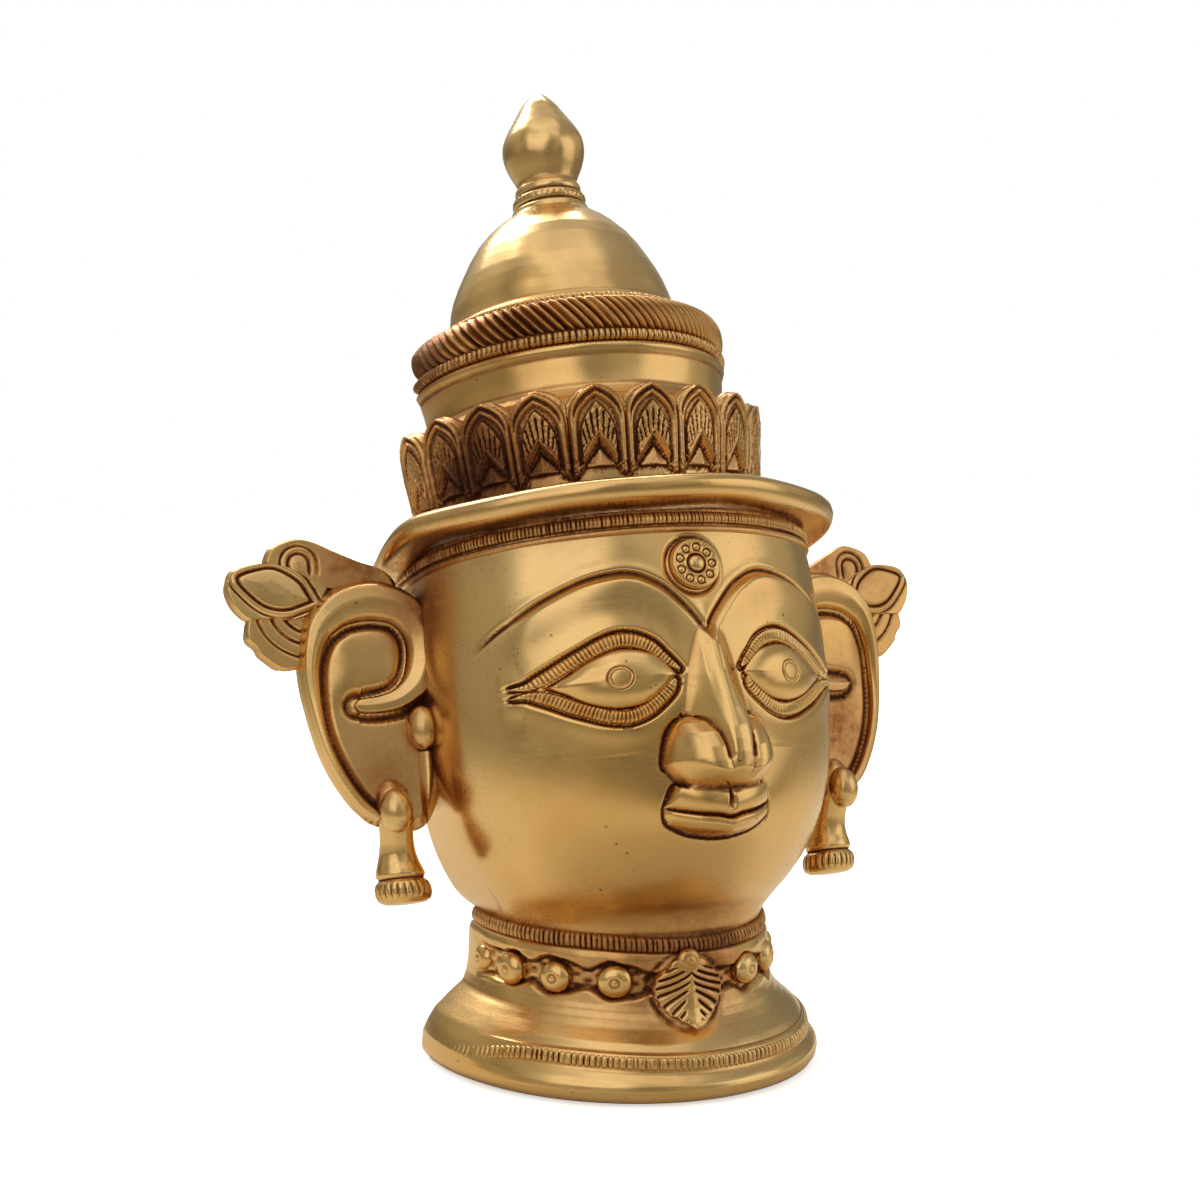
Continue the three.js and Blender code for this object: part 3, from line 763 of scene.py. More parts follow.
def crown_turns(radius, share):
    """How far round the back cut lets a ring of the crown go, times share from -1 to 1."""
    return share * np.arccos(np.clip(-head_back / (crown_depth * radius), -1, 1))


def ring_on_crown(name, columns, outside, inside, carve):
    """A turned ring of the crown, by its outside line from the foot up and its inside line back down. carve
    gives each place its real radius and height."""
    loop = np.vstack([outside, inside, outside[:1]])

    def ring_place(i, j):
        radius, height = loop[j].T
        turn = crown_turns(radius, 2 * i / columns - 1)
        outer = (j < len(outside)) | (j == len(loop) - 1)
        return on_crown(*carve(radius, height, turn, outer), turn)

    closed_up(shaped_sheet(name, columns, len(loop) - 1, ring_place))


brim_draw_in, brim_droop = 5.0 / 71.2, 5.0
brim_outside = even_line([
    (56.5, 99.0), (61.5, 99.2), (64.0, 99.4), (68.4, 100.2), (70.2, 101.0), (71.0, 102.2), (71.4, 103.8),
    (71.2, 105.2), (70.4, 106.2), (69.0, 106.9), (64, 107.9), (58, 108.8), (53, 109.6), (50.4, 109.9),
], 0.8)


def brim_ends(radius, height, turn, outer):
    """Behind the ears the brim draws in, droops and thins out, and its rim waves a little all round."""
    behind = step(66, 98, np.abs(np.degrees(turn))) * (radius > 57)
    wave = 0.25 * np.sin(4 * turn + 1) + 0.15 * np.sin(9 * turn)
    right_end = 1.3 * step(30, 60, np.degrees(turn)) * step(57, 66, radius)
    drawn_in = radius * (1 - brim_draw_in * behind) + right_end
    thin = np.where(radius > 60, (height - 103.6) * (1 - 0.25 * behind) + 103.6, height)
    return drawn_in, thin - brim_droop * behind + wave * (radius > 60) * outer


brim_inside = even_line([(46.6, 110), (56, 103), (56.3, 99.2)], 3)
ring_on_crown("brim", 240, brim_outside, brim_inside, brim_ends)


def on_face_band(out, up, share):
    """A band round the whole top of the face: out is its distance from the plain face."""
    radius = face_radius(up) + out
    return from_head(*face_section(radius, share * face_end(head_back, radius)), up)


brow_cord_line = [(-1.5, 92.3), (0.35, 92.4), (0.95, 92.9), (0.95, 93.6), (0.3, 94.1), (-1.5, 94.2)]
notched_band("brow_cord", 100, brow_cord_line, on_face_band, per_notch=3, depth=0.06)
brow_band_line = [
    (-1.5, 94.5), (0.7, 94.6), (1.5, 95.2), (1.7, 96.4), (1.4, 97.4), (0.6, 97.9), (-1.5, 98.0),
]
notched_band("brow_band", 172, brow_band_line, on_face_band, depth=0.7)

# Lotus petals
# A band of pointed lotus petals stands round the foot of the crown and leans out at the top. Each has two
# raised rims, a slotted inner leaf, a bent rib and a small polished pyramid at its foot.

petal_foot, petal_rise, petal_half = 109.6, 28.4, 8.05
petal_seat, petal_flare, petal_ring, petal_root = 49.2, 0.16, 53.8, 2.6
petal_turns = [-88.7, -71.4, -54.3, -37.2, -19.8, -2.8, 14.5, 31.9, 49.3, 66.7, 84.1]


def arch(x, z, half, shoulder, top, power):
    """Distance inside a pointed arch of that half width, in millimetres, where it is less outside."""
    up = np.clip((z - shoulder) / (top - shoulder), 0, 1.3)
    side = half * (1 - up ** power)
    lean_in = 1 / np.sqrt(1 + (power * half / (top - shoulder) * up ** (power - 1)) ** 2)
    return (side - np.abs(x)) * lean_in


def petal_level(x, z, rough):
    """The carving of one petal: two rims, the slotted leaf, the bent ribs and the pyramid under them."""
    ax = np.abs(x)
    outer = arch(x, z, 8.1, 14.5, 28.4, 3.9)
    second = arch(x, z, 6.5, 14.0, 25.5, 3.2)
    leaf = arch(x, z, 5.1, 13.5, 23.4, 2.0)
    upper = step(2.5, 6.5, z)
    level = 0.9 + 1.2 * step(-0.2, 0.8, outer) - 1.0 * step(0.9, 1.7, outer) * upper
    level = level + 1.1 * hump(second, 0.55) * upper
    fan = x * 24 / (z + 3)
    slots = 0.9 * np.clip(2 * np.cos(2 * np.pi * (fan + 0.1 * rough) / 1.9) - 1, 0, 1)
    slots = slots * step(0.4, 0.8, leaf)
    slots = slots * step(21.6, 20.4, z + 0.3 * ax) * step(14.2, 15.4, z + 0.9 * ax)
    inner = 0.75 + 1.25 * step(-0.1, 0.45, leaf) - slots
    level = np.where(leaf > -0.1, inner, level)
    bend = (z - (12.4 - 1.45 * ax)) / 1.76
    under_bend = step(0.7, 0.0, bend)
    tip = (10.3 - z) / 4.9
    half = 4.3 * np.clip(tip, 0, 1)
    facet = 1.1 + 1.6 * (1 - ax / np.clip(half, 0.05, None)) * np.clip(tip, 0, 1) ** 0.7
    pyramid = np.where((ax < half) & (z > 5.0), facet, 0.4 + 0.14 * rough)
    level = level * (1 - under_bend) + pyramid * under_bend
    rib = 0.85 * hump(bend, 0.45) * (outer > 1.2)
    upper_rib = 0.7 * hump(bend - 1.4, 0.4) * (leaf > -0.3)
    level = level + rib + upper_rib
    level = level + 0.2 * rough * step(9.0, 5, z) * step(2.5, 4.5, ax)
    return np.clip(level, 0.1, None)


def lotus_petal(name, turn, number):
    across, up = 56, 86
    rng = np.random.default_rng(number)
    skew, tall = rng.normal(0, 0.3), rng.normal(0, 0.25)
    grain = rng.normal(0, 1, (up + 1, across + 1))
    grain = (grain + np.roll(grain, 1, 0) + np.roll(grain, 1, 1) + np.roll(np.roll(grain, 1, 0), 1, 1)) / 3

    def petal_place(i, j):
        x = petal_half * (2 * i / across - 1)
        z = petal_rise * (j / up)
        crest = 23.9 + 4.4 * (1 - (np.abs(x) / petal_half) ** 2.3)
        z = np.where(z > 20, 20 + (z - 20) * (crest - 20) / (petal_rise - 20), z)
        level = petal_level(x + skew * z / 28, z - tall * z / 28, grain[j, i])
        top = step(crest - 1.5, crest, z)
        radius = petal_seat + petal_flare * z + level + 0.05 * grain[j, i] - 1.4 * top ** 2
        return on_crown(radius, petal_foot + z, turn + x / petal_ring)

    outward = Vector(on_crown(1, 0, turn)) - Vector(on_crown(0, 0, turn))
    closed_up(shaped_sheet(name, across, up, petal_place), -petal_root * outward)


for number, degrees in enumerate(petal_turns):
    lotus_petal(f"petal_{number + 1}", math.radians(degrees), number)

# Crown drum and dome
# Above the petals the crown is a smooth drum, then a notched band and the rope, and then the dome,
# polished plain with a few small casting pits.

drum_outside = even_line([
    (49.6, 108.8), (50.2, 112), (51.2, 124), (51.6, 132), (50.6, 134.5), (47.0, 137.0), (45.2, 139.4),
    (44.6, 141), (44.5, 149.4), (44.9, 150.4), (45.3, 151.6), (44.8, 152.6), (43.8, 153.2), (43.6, 156.8),
    (43.0, 157.6), (41.6, 158.4), (40.6, 166.4),
], 0.8)
drum_inside = even_line([(36, 167), (38, 162), (40.4, 140), (46.6, 130), (46.6, 109)], 4)


def crown_swell(height, turn):
    """The rope and the drum below it are a little wider at the back ends, more so on the left."""
    ends = 0.9 + 1.2 * step_round(-50, -95, turn) + 0.4 * step_round(40, 80, turn)
    return ends * hump(height - 158, 12, 4)


def drum_uneven(radius, height, turn, outer):
    """Hand turned, so it is never quite round."""
    return radius + (0.12 * np.sin(4 * turn + 0.2 * height) + crown_swell(height, turn)) * outer, height


ring_on_crown("drum", 200, drum_outside, drum_inside, drum_uneven)


def on_crown_band(out, up, share):
    turn = crown_turns(out, share * band_reach)
    return on_crown(out + crown_swell(up, turn), up, turn)


drum_band_line = [
    (42.5, 153.1), (44.6, 153.2), (45.6, 153.8), (45.8, 154.9), (45.4, 156.0), (44.4, 156.6), (42.4, 156.7),
]
notched_band("drum_band", 98, drum_band_line, on_crown_band, depth=0.85, spread=0.27, drop=0.35)
dome_outside = even_line([
    (41.0, 166.0), (39.5, 167.4), (37.2, 168.2), (35.8, 170.6), (34.6, 172.4), (34.0, 174.6), (33.3, 178),
    (32.1, 182), (30.4, 186), (28.3, 190), (26.1, 194), (23.4, 198), (19.7, 202), (17.2, 204.2),
    (15.0, 205.8), (13.4, 206.9), (12.4, 208.0),
], 0.8)
dome_inside = even_line([(7, 207), (9, 203.6), (21.8, 193.6), (28.4, 180), (30.4, 171), (36, 165)], 4)


def dome_uneven(radius, height, turn, outer):
    """The dome leans a little to the left, and isn't quite round."""
    slim = 0.5 * step(170, 180, height) * step(208, 200, height) * np.sin(turn)
    return radius - slim * outer + 0.1 * np.sin(3 * turn + 0.12 * height) * outer, height


ring_on_crown("dome", 180, dome_outside, dome_inside, dome_uneven)
dome_cord_line = [(36, 167.3), (38.3, 167.4), (39.2, 168.0), (39.2, 169.2), (38.2, 169.9), (35, 170.4)]
notched_band("dome_cord", 96, dome_cord_line, on_crown_band, depth=0.4, spread=0.34)

# Rope band
# A thick rope lies round the foot of the dome. Its strands are cast and then cut deeper, and run down to
# the right all the way round.

rope_height, rope_radius = 161.6, 41.2
strands, per_strand, rope_around = 66, 9, 22
strand_weight = np.random.default_rng(5).uniform(0.7, 1.15, strands + 2)


def rope_place(i, j):
    """The strands are wider and cut deeper towards the left."""
    spin = 0.68 * math.pi * (2 * (j % rope_around) / (rope_around - 1) - 1)
    up = 5.5 * np.sign(np.sin(spin)) * np.abs(np.sin(spin)) ** 0.85
    out = rope_radius + 4.7 * np.sign(np.cos(spin)) * np.abs(np.cos(spin)) ** 0.8
    phase = i / per_strand
    share = 2 * phase / strands - 1
    slant = 0.0105 * up * (1 - share ** 16)
    share = np.clip(share - 0.2 * (share ** 2 - 1) - slant, -1, 1)
    cut = np.abs(np.sin(np.pi * phase)) ** (1.6 - 0.95 * step(-0.6, 0.3, share))
    weight = strand_weight[np.floor(phase).astype(int)]
    deep = (2.0 - 0.6 * step(-0.5, 0.3, share)) * weight * np.clip(np.cos(spin) + 0.3, 0, 1)
    turn = crown_turns(out, share * band_reach)
    out = out - deep * (1 - cut) + crown_swell(rope_height + up, turn)
    return on_crown(out, rope_height + up, turn)


closed_up(shaped_sheet("rope_band", strands * per_strand, rope_around, rope_place))

# Finial
# An onion bud on a ringed collar closes the top of the crown. It is solid, and filed flat behind.

finial_line = smooth_line([
    (12.6, 206.4), (11.9, 208.4), (11.6, 209.6), (10.8, 210.3), (10.4, 210.8), (11.0, 211.5),
    (10.9, 213.2), (10.2, 213.9), (9.6, 214.3), (10.0, 215.0), (9.9, 216.6), (9.3, 217.4), (9.1, 218.6),
    (9.9, 220.6), (11.2, 223.4), (12.2, 226.4), (12.5, 229.2), (12.1, 232.2), (10.8, 235.2), (9.0, 238.2),
    (7.2, 241.1), (5.3, 244.2), (2.8, 247.0), (1.2, 248.3),
], 96)
finial_loop = np.vstack([[(0.0, 206.0)], finial_line, [(0.0, 248.78)]])
finial_columns = 110


def finial_place(i, j):
    radius, height = finial_loop[j].T
    turn = 2 * np.pi * i / finial_columns
    bead_row = 0.22 * np.cos(34 * turn) * hump(height - 212.4, 0.9)
    facet = 0.10 * np.cos(7 * turn + 0.4) * step(222, 230, height) * step(0, 9, radius)
    radius = radius + bead_row + facet
    x, y = radius * np.sin(turn), -crown_depth * radius * np.cos(turn)
    return from_head(x, np.minimum(y, head_back - 0.05), height)


closed_up(shaped_sheet("finial", finial_columns, len(finial_loop) - 1, finial_place))

# Ears
# Large flat ears stand out at each side, cast in one with the head: a plate, a thick rim that curls in at
# the top, a boss in front of it and a narrow wedge below the boss. They are cut flat behind.

ear_front, ear_slope, ear_root = -9.5, 0.15, 4.0
behind_ear = ear_root * (Vector(from_head(0, 1, 0)) - Vector(from_head(0, 0, 0)))


def on_ear(side):
    """The flat of that side's ear, by its front view, with level standing out of it."""
    def place(x, z, level):
        return from_head(side * x, ear_front + ear_slope * (x - 60) - level, z)
    return place


ear_rim = [
    (73.9, 23.4), (78.2, 25.6), (82.2, 30.4), (86.4, 39.2), (89.9, 48.2), (92.0, 57), (93.4, 66),
    (93.0, 75.8), (89.8, 84.6), (82.8, 90.8), (73.2, 93.1), (64.6, 91.6), (58.6, 87.2),
]
ear_plate_edge = ear_rim + [(52, 80), (51, 66), (52, 50), (56, 36), (60.5, 26), (64, 22.5), (69, 22)]
rim_line = smooth_line([
    (75.6, 26.4, 1.2), (79.4, 29.6, 1.5), (82.7, 34.2, 1.5), (85.7, 39.8, 1.5), (87.8, 45.2, 1.5),
    (89.3, 51.0, 1.55), (90.3, 57.4, 1.85), (90.9, 64.0, 2.3), (90.8, 70.0, 2.7), (89.6, 76.0, 3.5),
    (87.0, 81.2, 4.8), (81.4, 85.6, 5.8), (73.2, 87.1, 6.2), (65.0, 84.7, 5.8), (60.3, 78.4, 5.0),
    (59.6, 71.0, 4.6), (61.9, 63.6, 4.4), (66.6, 59.4, 3.6), (71.6, 57.9, 3.0), (76.2, 57.6, 2.7),
    (78.6, 57.8, 2.1), (79.9, 58.0, 0.5),
], 240)


def plate_level(x, z, share):
    """The flat of the ear, with the hollow's raised middle, the lobe and the deep line along the rim."""
    away, half = near(x, z, rim_line[::3])
    groove = hump(away - half - 1.0, 1.0)
    dish = 1.9 * np.exp(-((x - 75.5) / 10.5) ** 4 - ((z - 71) / 11) ** 4)
    lobe = 0.8 * np.exp(-((x - 75) / 8) ** 2 - ((z - 46) / 13) ** 2)
    return 0.2 + np.maximum(dish, lobe) - 1.6 * groove - 1.2 * step(0.9, 1, share)


def rim_profile(t, along):
    """The curled rim: steep inside, rounded outside, highest over the ear and low at its tip."""
    inner = step(-1.0, -0.62, t)
    crest = 1 - 0.45 * np.clip((t + 0.05) / 1.05, 0, 1) ** 1.3 - 0.16 * np.clip((-0.05 - t) / 0.9, 0, 1)
    outer = np.clip((1 - t) / 0.3, 0, 1) ** 0.6
    tall = 2.9 + 2.0 * step(0.3, 0.5, along) - 2.3 * step(0.8, 0.97, along)
    return tall * inner * crest * outer - 0.4


def wedge_profile(t, along):
    return 3.2 * np.clip(1 - np.abs(t) ** 1.5, 0, 1) - 0.5


wedge_line = smooth_line([
    (61.2, 43.6, 2.6), (61.4, 38, 2.5), (62.0, 32, 1.8), (62.8, 27, 0.8), (63.1, 23.5, 0.3),
], 60)
ear_middle = np.array([72, 58.0])
for side_name, side in both_sides:
    place = on_ear(side)
    patch(f"ear_plate_{side_name}", ear_plate_edge, ear_middle, 200, 64, plate_level, place, behind_ear,
          bevel=(6.5, 3.6))
    roll(f"ear_rim_{side_name}", rim_line, 26, rim_profile, place, behind_ear)
    ball(f"ear_boss_{side_name}", (62.1, 50.2, 2.4), (4.1, 6.3, 4.4), place, around=32, rings=24)
    roll(f"ear_wedge_{side_name}", wedge_line, 12, wedge_profile, place, behind_ear)

# Ear leaves
# Three leaves fan out above and behind each ear: a long pointed one with an almond panel, a scrolled one
# above it and a scalloped one below. They are thin brass, chased with double lines.

big_leaf = [
    (83.5, 90.5), (87.3, 84.8), (92.8, 81.8), (100.3, 82.2), (106.4, 82.4), (110.2, 86.0), (112.0, 90.2),
    (112.2, 93.6), (110.8, 96.6), (107.4, 98.2), (100.3, 98.6), (93.6, 97.0), (88.0, 93.8),
]
leaf_panel = smooth_line([
    (89.0, 86.9), (95.6, 85.0), (101.3, 86.0), (106.0, 90.0), (108.8, 94.6), (103.2, 96.7), (98.0, 96.6),
    (92.0, 92.5), (89.0, 86.9),
], 60)
scroll_leaf = [
    (80, 90), (86, 91.6), (92.4, 95.6), (99.2, 98.6), (99.5, 100.6), (97.3, 103.8), (91.5, 105.8),
    (86.6, 105.1), (79.7, 101.6), (73.4, 98.4), (66, 95.4), (63, 90), (70, 87),
]
lower_leaf = [
    (84.5, 87), (88.4, 80.5), (90.8, 73.5), (92.6, 69.6), (95.6, 68.8), (98.2, 69.0), (101.2, 71.2),
    (103.4, 73.2), (104.6, 75.6), (106.8, 78.2), (106.9, 81.4), (105.2, 85.6), (98, 88),
]


def groove(distance, width, depth):
    return -depth * hump(distance, width)


def big_level(x, z, share):
    edge = step(1.0, 0.93, share)
    corner = leaf_panel[:-1]
    side = np.roll(leaf_panel, -1, 0)[:-1] - corner
    side = side / np.clip(np.linalg.norm(side, axis=1), 1e-6, None)[:, None]
    across = (z[:, None] - corner[:, 1]) * side[:, 0] - (x[:, None] - corner[:, 0]) * side[:, 1]
    within = np.min(across, axis=1)
    panel = 0.7 * np.clip(within / 4, 0, 1) ** 0.6
    lines = groove(within, 0.42, 0.75) + groove(within + 2.3, 0.34, 0.5) + 0.4 * hump(within + 1.2, 0.6)
    return -1.2 + 1.4 * edge + (panel + lines) * edge


def scroll_level(x, z, share):
    over = np.where(z > 98.4, np.hypot(x - 90.2, z - 98.4), np.abs(x - 90.2))
    fade = step(94, 96.5, z)
    edge = step(1.0, 0.92, share)
    lines = groove(over - 2.9, 0.5, 0.8) + groove(over - 5.1, 0.45, 0.65) + 0.3 * hump(over, 1.5)
    return -2.2 + 1.9 * edge + lines * fade * edge + 0.2 * np.sin(x / 2.3) * step(84, 78, x)


def scallop_level(x, z, share):
    edge = step(1.0, 0.92, share)
    spread = np.hypot(x - 88, z - 88)
    lines = (groove(spread - 9.4, 0.5, 0.8) + groove(spread - 12.6, 0.5, 0.8)
             + groove(spread - 16.4, 0.45, 0.6))
    return -2.4 + 1.9 * edge + lines * edge


leaf_shift = {"left": ((-0.15, 1.2), (1.2, 0.8), (0.3, 0.4)),
              "right": ((-1.6, -2.4), (-2.6, -3.6), (-1.0, -2.0))}
leaf_shapes = [("big_leaf", big_leaf, np.array([99.5, 90.8]), 150, 46, big_level),
               ("scroll_leaf", scroll_leaf, np.array([85, 97.0]), 140, 44, scroll_level),
               ("lower_leaf", lower_leaf, np.array([97, 79.5]), 140, 44, scallop_level)]


def on_leaf(side, shift):
    """The ear's surface, for a leaf that sits that far across and up from its drawn place."""
    def place(x, z, level):
        return on_ear(side)(x + shift[0], z + shift[1], level)
    return place


for side_name, side in both_sides:
    for (leaf, outline, middle, around, rings, level), shift in zip(leaf_shapes, leaf_shift[side_name]):
        place = on_leaf(side, shift)
        patch(f"{leaf}_{side_name}", outline, middle, around, rings, level, place, behind_ear, (2.2, 1.3))

# Ear pendants
# A long drop hangs in front of each lobe, over a waisted bell that ends in a thick notched disc.
# They are cast solid with the ear and don't swing.

bell_line = even_line([
    (0, 3.7), (3.4, 3.72), (5.8, 4.0), (7.3, 4.9), (7.9, 6.4), (7.9, 8.2), (7.4, 9.6), (6.6, 10.3),
    (6.2, 10.7), (6.6, 11.2), (6.9, 11.9), (6.6, 13.2), (5.9, 15.2), (5.2, 17.6), (4.8, 20.2), (4.7, 22.6),
    (4.8, 26), (4.7, 31), (4.0, 35), (2.0, 37.4), (0, 38.2),
], 0.5)


def ear_pendant(name, side, disc_x, hang):
    around = 96

    def bell_place(i, j):
        radius, height = bell_line[j].T
        turn = 2 * np.pi * i / around
        notch = np.clip(np.cos(24 * turn), 0, 1) ** 2 * hump(height - 7.6, 2.2, 4) * step(3.4, 6, radius)
        radius = radius - 0.4 * notch
        forward = 3.2 + 5.0 * step(14, 30, height)
        x = side * (disc_x + 0.1 * (height - 7)) + radius * np.sin(turn)
        return from_head(x, -forward - radius * np.cos(turn), height - hang)

    closed_up(shaped_sheet(name, around, len(bell_line) - 1, bell_place))


def before_lobe(side):
    """Where the drops hang, just in front of that side's ear."""
    def place(x, z, level):
        return from_head(side * x, -10.5 - level, z)
    return place


for side_name, side, disc_x, hang, drop_x, drop_height in (("left", -1, 69.0, 1.4, 72.0, 27.6),
                                                           ("right", 1, 67.4, 3.2, 70.6, 25.6)):
    ear_pendant(f"ear_pendant_{side_name}", side, disc_x, hang)
    ball(f"ear_drop_{side_name}", (drop_x, drop_height, 1.4), (4.5, 6.2, 4.6), before_lobe(side), around=36,
         rings=28)

# Patina and painted shade
# Polish reaches the raised places only. Dark red-brown oxide stays in every line, notch and hollow, so each
# piece's surface keeps how deep each of its places is. How hidden each place is from the sky darkens it
# too: that is painted shade, under the brim, between the parts and inside the casting.

less_polished = {
    "petal": 0.20, "rope": 0.24, "drum_band": 0.16, "brow_band": 0.22, "brow_cord": 0.20, "neck_band": 0.26,
    "foot_band": 0.10, "neck_bead": -0.3, "pendant_drop": -0.1, "pendant": -0.08, "ear_plate": 0.10,
    "scroll_leaf": 0.16, "lower_leaf": 0.14, "big_leaf": 0.06, "dome_cord": 0.18,
}
# Painted shade: extra darkening laid on at listed places where less light falls, such as the brim's ends:
# the place and its reach in millimetres, and how much.
shade_patches = [
    (-47, 44, 199, 22, 0.5), (-34, 10, 210, 16, 0.22), (-44, 4, 164, 24, 0.6), (-76, 18, 141, 13, 0.3),
    (74, 18, 139, 11, 0.25), (74, 2, 92, 24, 0.2), (96, 20, 134, 16, 0.16), (-30, -22, 162, 18, 0.3),
    (-48, 2, 132, 22, 0.25), (-72, 0, 84, 14, 0.26), (-76, 2, 104, 12, 0.14), (74, 0, 88, 16, 0.16),
    (-60, 4, 130, 14, 0.35), (-60, 2, 98, 9, 0.3), (-16, -40, 31, 15, 0.3), (10, -42, 31, 15, 0.3),
    (34, -20, 33, 14, 0.25), (0, -41, 40, 24, 0.2), (-34, -26, 32, 14, 0.26), (-8, -60, 9, 3.2, 0.5),
    (-66, 3, 66, 9, 0.08), (-88, 2, 128, 9, 0.2),
]
line_reach, hollow_reach = 0.6, 1.9
looks, cell_size = 64, 0.7
golden_turn = 2.399963


def patch_shade(point):
    """The painted shade that the listed patches add at each place."""
    amount = np.zeros(len(point))
    for x, y, z, reach, strength in shade_patches:
        away = np.linalg.norm(point - np.array([x, y, z]), axis=1)
        amount += strength * np.exp(-(away / reach) ** 2 * 1.6)
    return amount


def held(data, attribute, width, kind=np.float32):
    """What a mesh holds for each of its points or edges, width numbers for each."""
    values = np.empty(len(data) * width, kind)
    data.foreach_get(attribute, values)
    return values.reshape(-1, width)


def hollowness(piece, reach):
    """How far each place lies below the mean of the surface within reach of it, in millimetres."""
    point = held(piece.data.vertices, "co", 3).astype(float) * 1000
    facing = held(piece.data.vertex_normals, "vector", 3)
    pair = held(piece.data.edges, "vertices", 2, np.int32)
    count = len(point)
    length = np.linalg.norm(point[pair[:, 0]] - point[pair[:, 1]], axis=1)
    rounds = int(np.clip((reach / np.median(length)) ** 2, 2, 70))
    linked_to = np.clip(np.bincount(pair.ravel(), minlength=count), 1, None)[:, None]
    spread = point.copy()
    for _ in range(rounds):
        total = np.column_stack([
            np.bincount(pair[:, 0], weights=spread[pair[:, 1], k], minlength=count)
            + np.bincount(pair[:, 1], weights=spread[pair[:, 0], k], minlength=count) for k in range(3)])
        spread = 0.5 * spread + 0.5 * total / linked_to
    return np.einsum("ij,ij->i", spread - point, facing)


def openness(point, facing):
    """The share of the sky each place sees, by looking at the whole mask from many sides."""
    seen = np.zeros(len(point))
    weight = np.zeros(len(point))
    for k in range(looks):
        up = 1 - 2 * (k + 0.5) / looks
        around = k * golden_turn
        flat = math.sqrt(1 - up * up)
        look = np.array([flat * math.cos(around), flat * math.sin(around), up])
        side_axis = np.cross(look, (0.13, 0.37, 0.92))
        side_axis /= np.linalg.norm(side_axis)
        up_axis = np.cross(look, side_axis)
        depth = point @ look
        u = np.floor((point @ side_axis) / cell_size).astype(int)
        v = np.floor((point @ up_axis) / cell_size).astype(int)
        u -= u.min()
        v -= v.min()
        cell = u * (v.max() + 1) + v
        nearest = np.full(cell.max() + 1, -1e9)
        np.maximum.at(nearest, cell, depth)
        toward = facing @ look
        slack = 0.45 + 0.75 * np.sqrt(np.clip(1 / np.clip(toward, 0.12, 1) ** 2 - 1, 0, None))
        part = np.clip(toward, 0, 1)
        seen += part * (depth > nearest[cell] - slack)
        weight += part
    return seen / np.clip(weight, 1e-6, None)


every_point = np.vstack([held(piece.data.vertices, "co", 3) for piece in mask_pieces]) * 1000
every_facing = np.vstack([held(piece.data.vertex_normals, "vector", 3) for piece in mask_pieces])
sky = openness(every_point, every_facing)
first = 0
for piece in mask_pieces:
    last = first + len(piece.data.vertices)
    fine = hollowness(piece, line_reach)
    wide = hollowness(piece, hollow_reach)
    dull = next((value for name, value in less_polished.items() if piece.name.startswith(name)), 0.0)
    # Painted shade from the listed patches.
    patched_shade = patch_shade(every_point[first:last])
    # Painted shade: the less of the sky a place sees, the darker it is made, under the brim, between the
    # parts and inside the casting.
    sky_shade = np.clip((0.52 - sky[first:last]) / 0.42, 0, 1) ** 2
    carved = np.clip(fine / 0.14, 0, 1) * 0.72 + np.clip(wide / 0.5, 0, 1) * 0.42
    # Real patina from the carved lines and hollows, plus painted shade from the sky share and the listed
    # patches, plus each piece's own tarnish.
    tarnish = carved + sky_shade * 0.6 + dull + patched_shade
    for label, values in (("tarnish", np.clip(tarnish, 0, 1)), ("worn", np.clip(-fine / 0.08, 0, 1))):
        layer = piece.data.attributes.new(label, "FLOAT", "POINT")
        layer.data.foreach_set("value", values.astype(np.float32))
    first = last

# Brass
# Warm yellow cast brass, hand polished along the form, so it shines softly and has fine level scratches,
# a few pits, and brown stain that thickens towards the dark lines. Painted shade darkens it further in the
# places that see little of the sky and at the listed patches.

brass = bpy.data.materials.new("polished_brass")
brass.use_nodes = True
shader = brass.node_tree.nodes["Principled BSDF"]
black, white = (0.0, 0.0, 0.0), (1.0, 1.0, 1.0)


def feed(socket, value):
    """Links an input to another node's output, or sets it to a number, a vector or a colour."""
    if isinstance(value, bpy.types.NodeSocket):
        socket.id_data.links.new(value, socket)
    elif socket.type == "RGBA":
        socket.default_value = (*value, 1)
    else:
        socket.default_value = value


def add_node(tree, kind, **settings):
    """A new node. A setting named like one of its inputs feeds that input, and any other is its own."""
    node = tree.nodes.new(kind)
    for name, value in settings.items():
        if name in node.inputs:
            feed(node.inputs[name], value)
        else:
            setattr(node, name, value)
    return node


def maths(operation, *values, clamp=False):
    """A sum on numbers and other nodes' outputs, in the material or world that these belong to."""
    tree = next(value.id_data for value in values if isinstance(value, bpy.types.NodeSocket))
    node = add_node(tree, "ShaderNodeMath", operation=operation, use_clamp=clamp)
    for socket, value in zip(node.inputs, values):
        feed(socket, value)
    return node.outputs[0]


def ramp(source, stops):
    """A colour ramp through (position, colour) stops."""
    node = add_node(source.id_data, "ShaderNodeValToRGB", Fac=source)
    elements = node.color_ramp.elements
    for element, (position, colour) in zip(elements, (stops[0], stops[-1])):
        element.position = position
        element.color = (*colour, 1)
    for position, colour in stops[1:-1]:
        elements.new(position).color = (*colour, 1)
    return node.outputs["Color"]


def mixed(factor, first_colour, second_colour):
    """The first colour, giving way to the second as factor goes to 1."""
    node = add_node(factor.id_data, "ShaderNodeMix", data_type="RGBA")
    for number, value in ((0, factor), (6, first_colour), (7, second_colour)):
        feed(node.inputs[number], value)
    return node.outputs[2]


def centred(source, size):
    """A pattern that swings both ways round nought, by half of size."""
    return maths("MULTIPLY", maths("SUBTRACT", source, 0.5), size)


where = add_node(brass.node_tree, "ShaderNodeTexCoord").outputs["Object"]


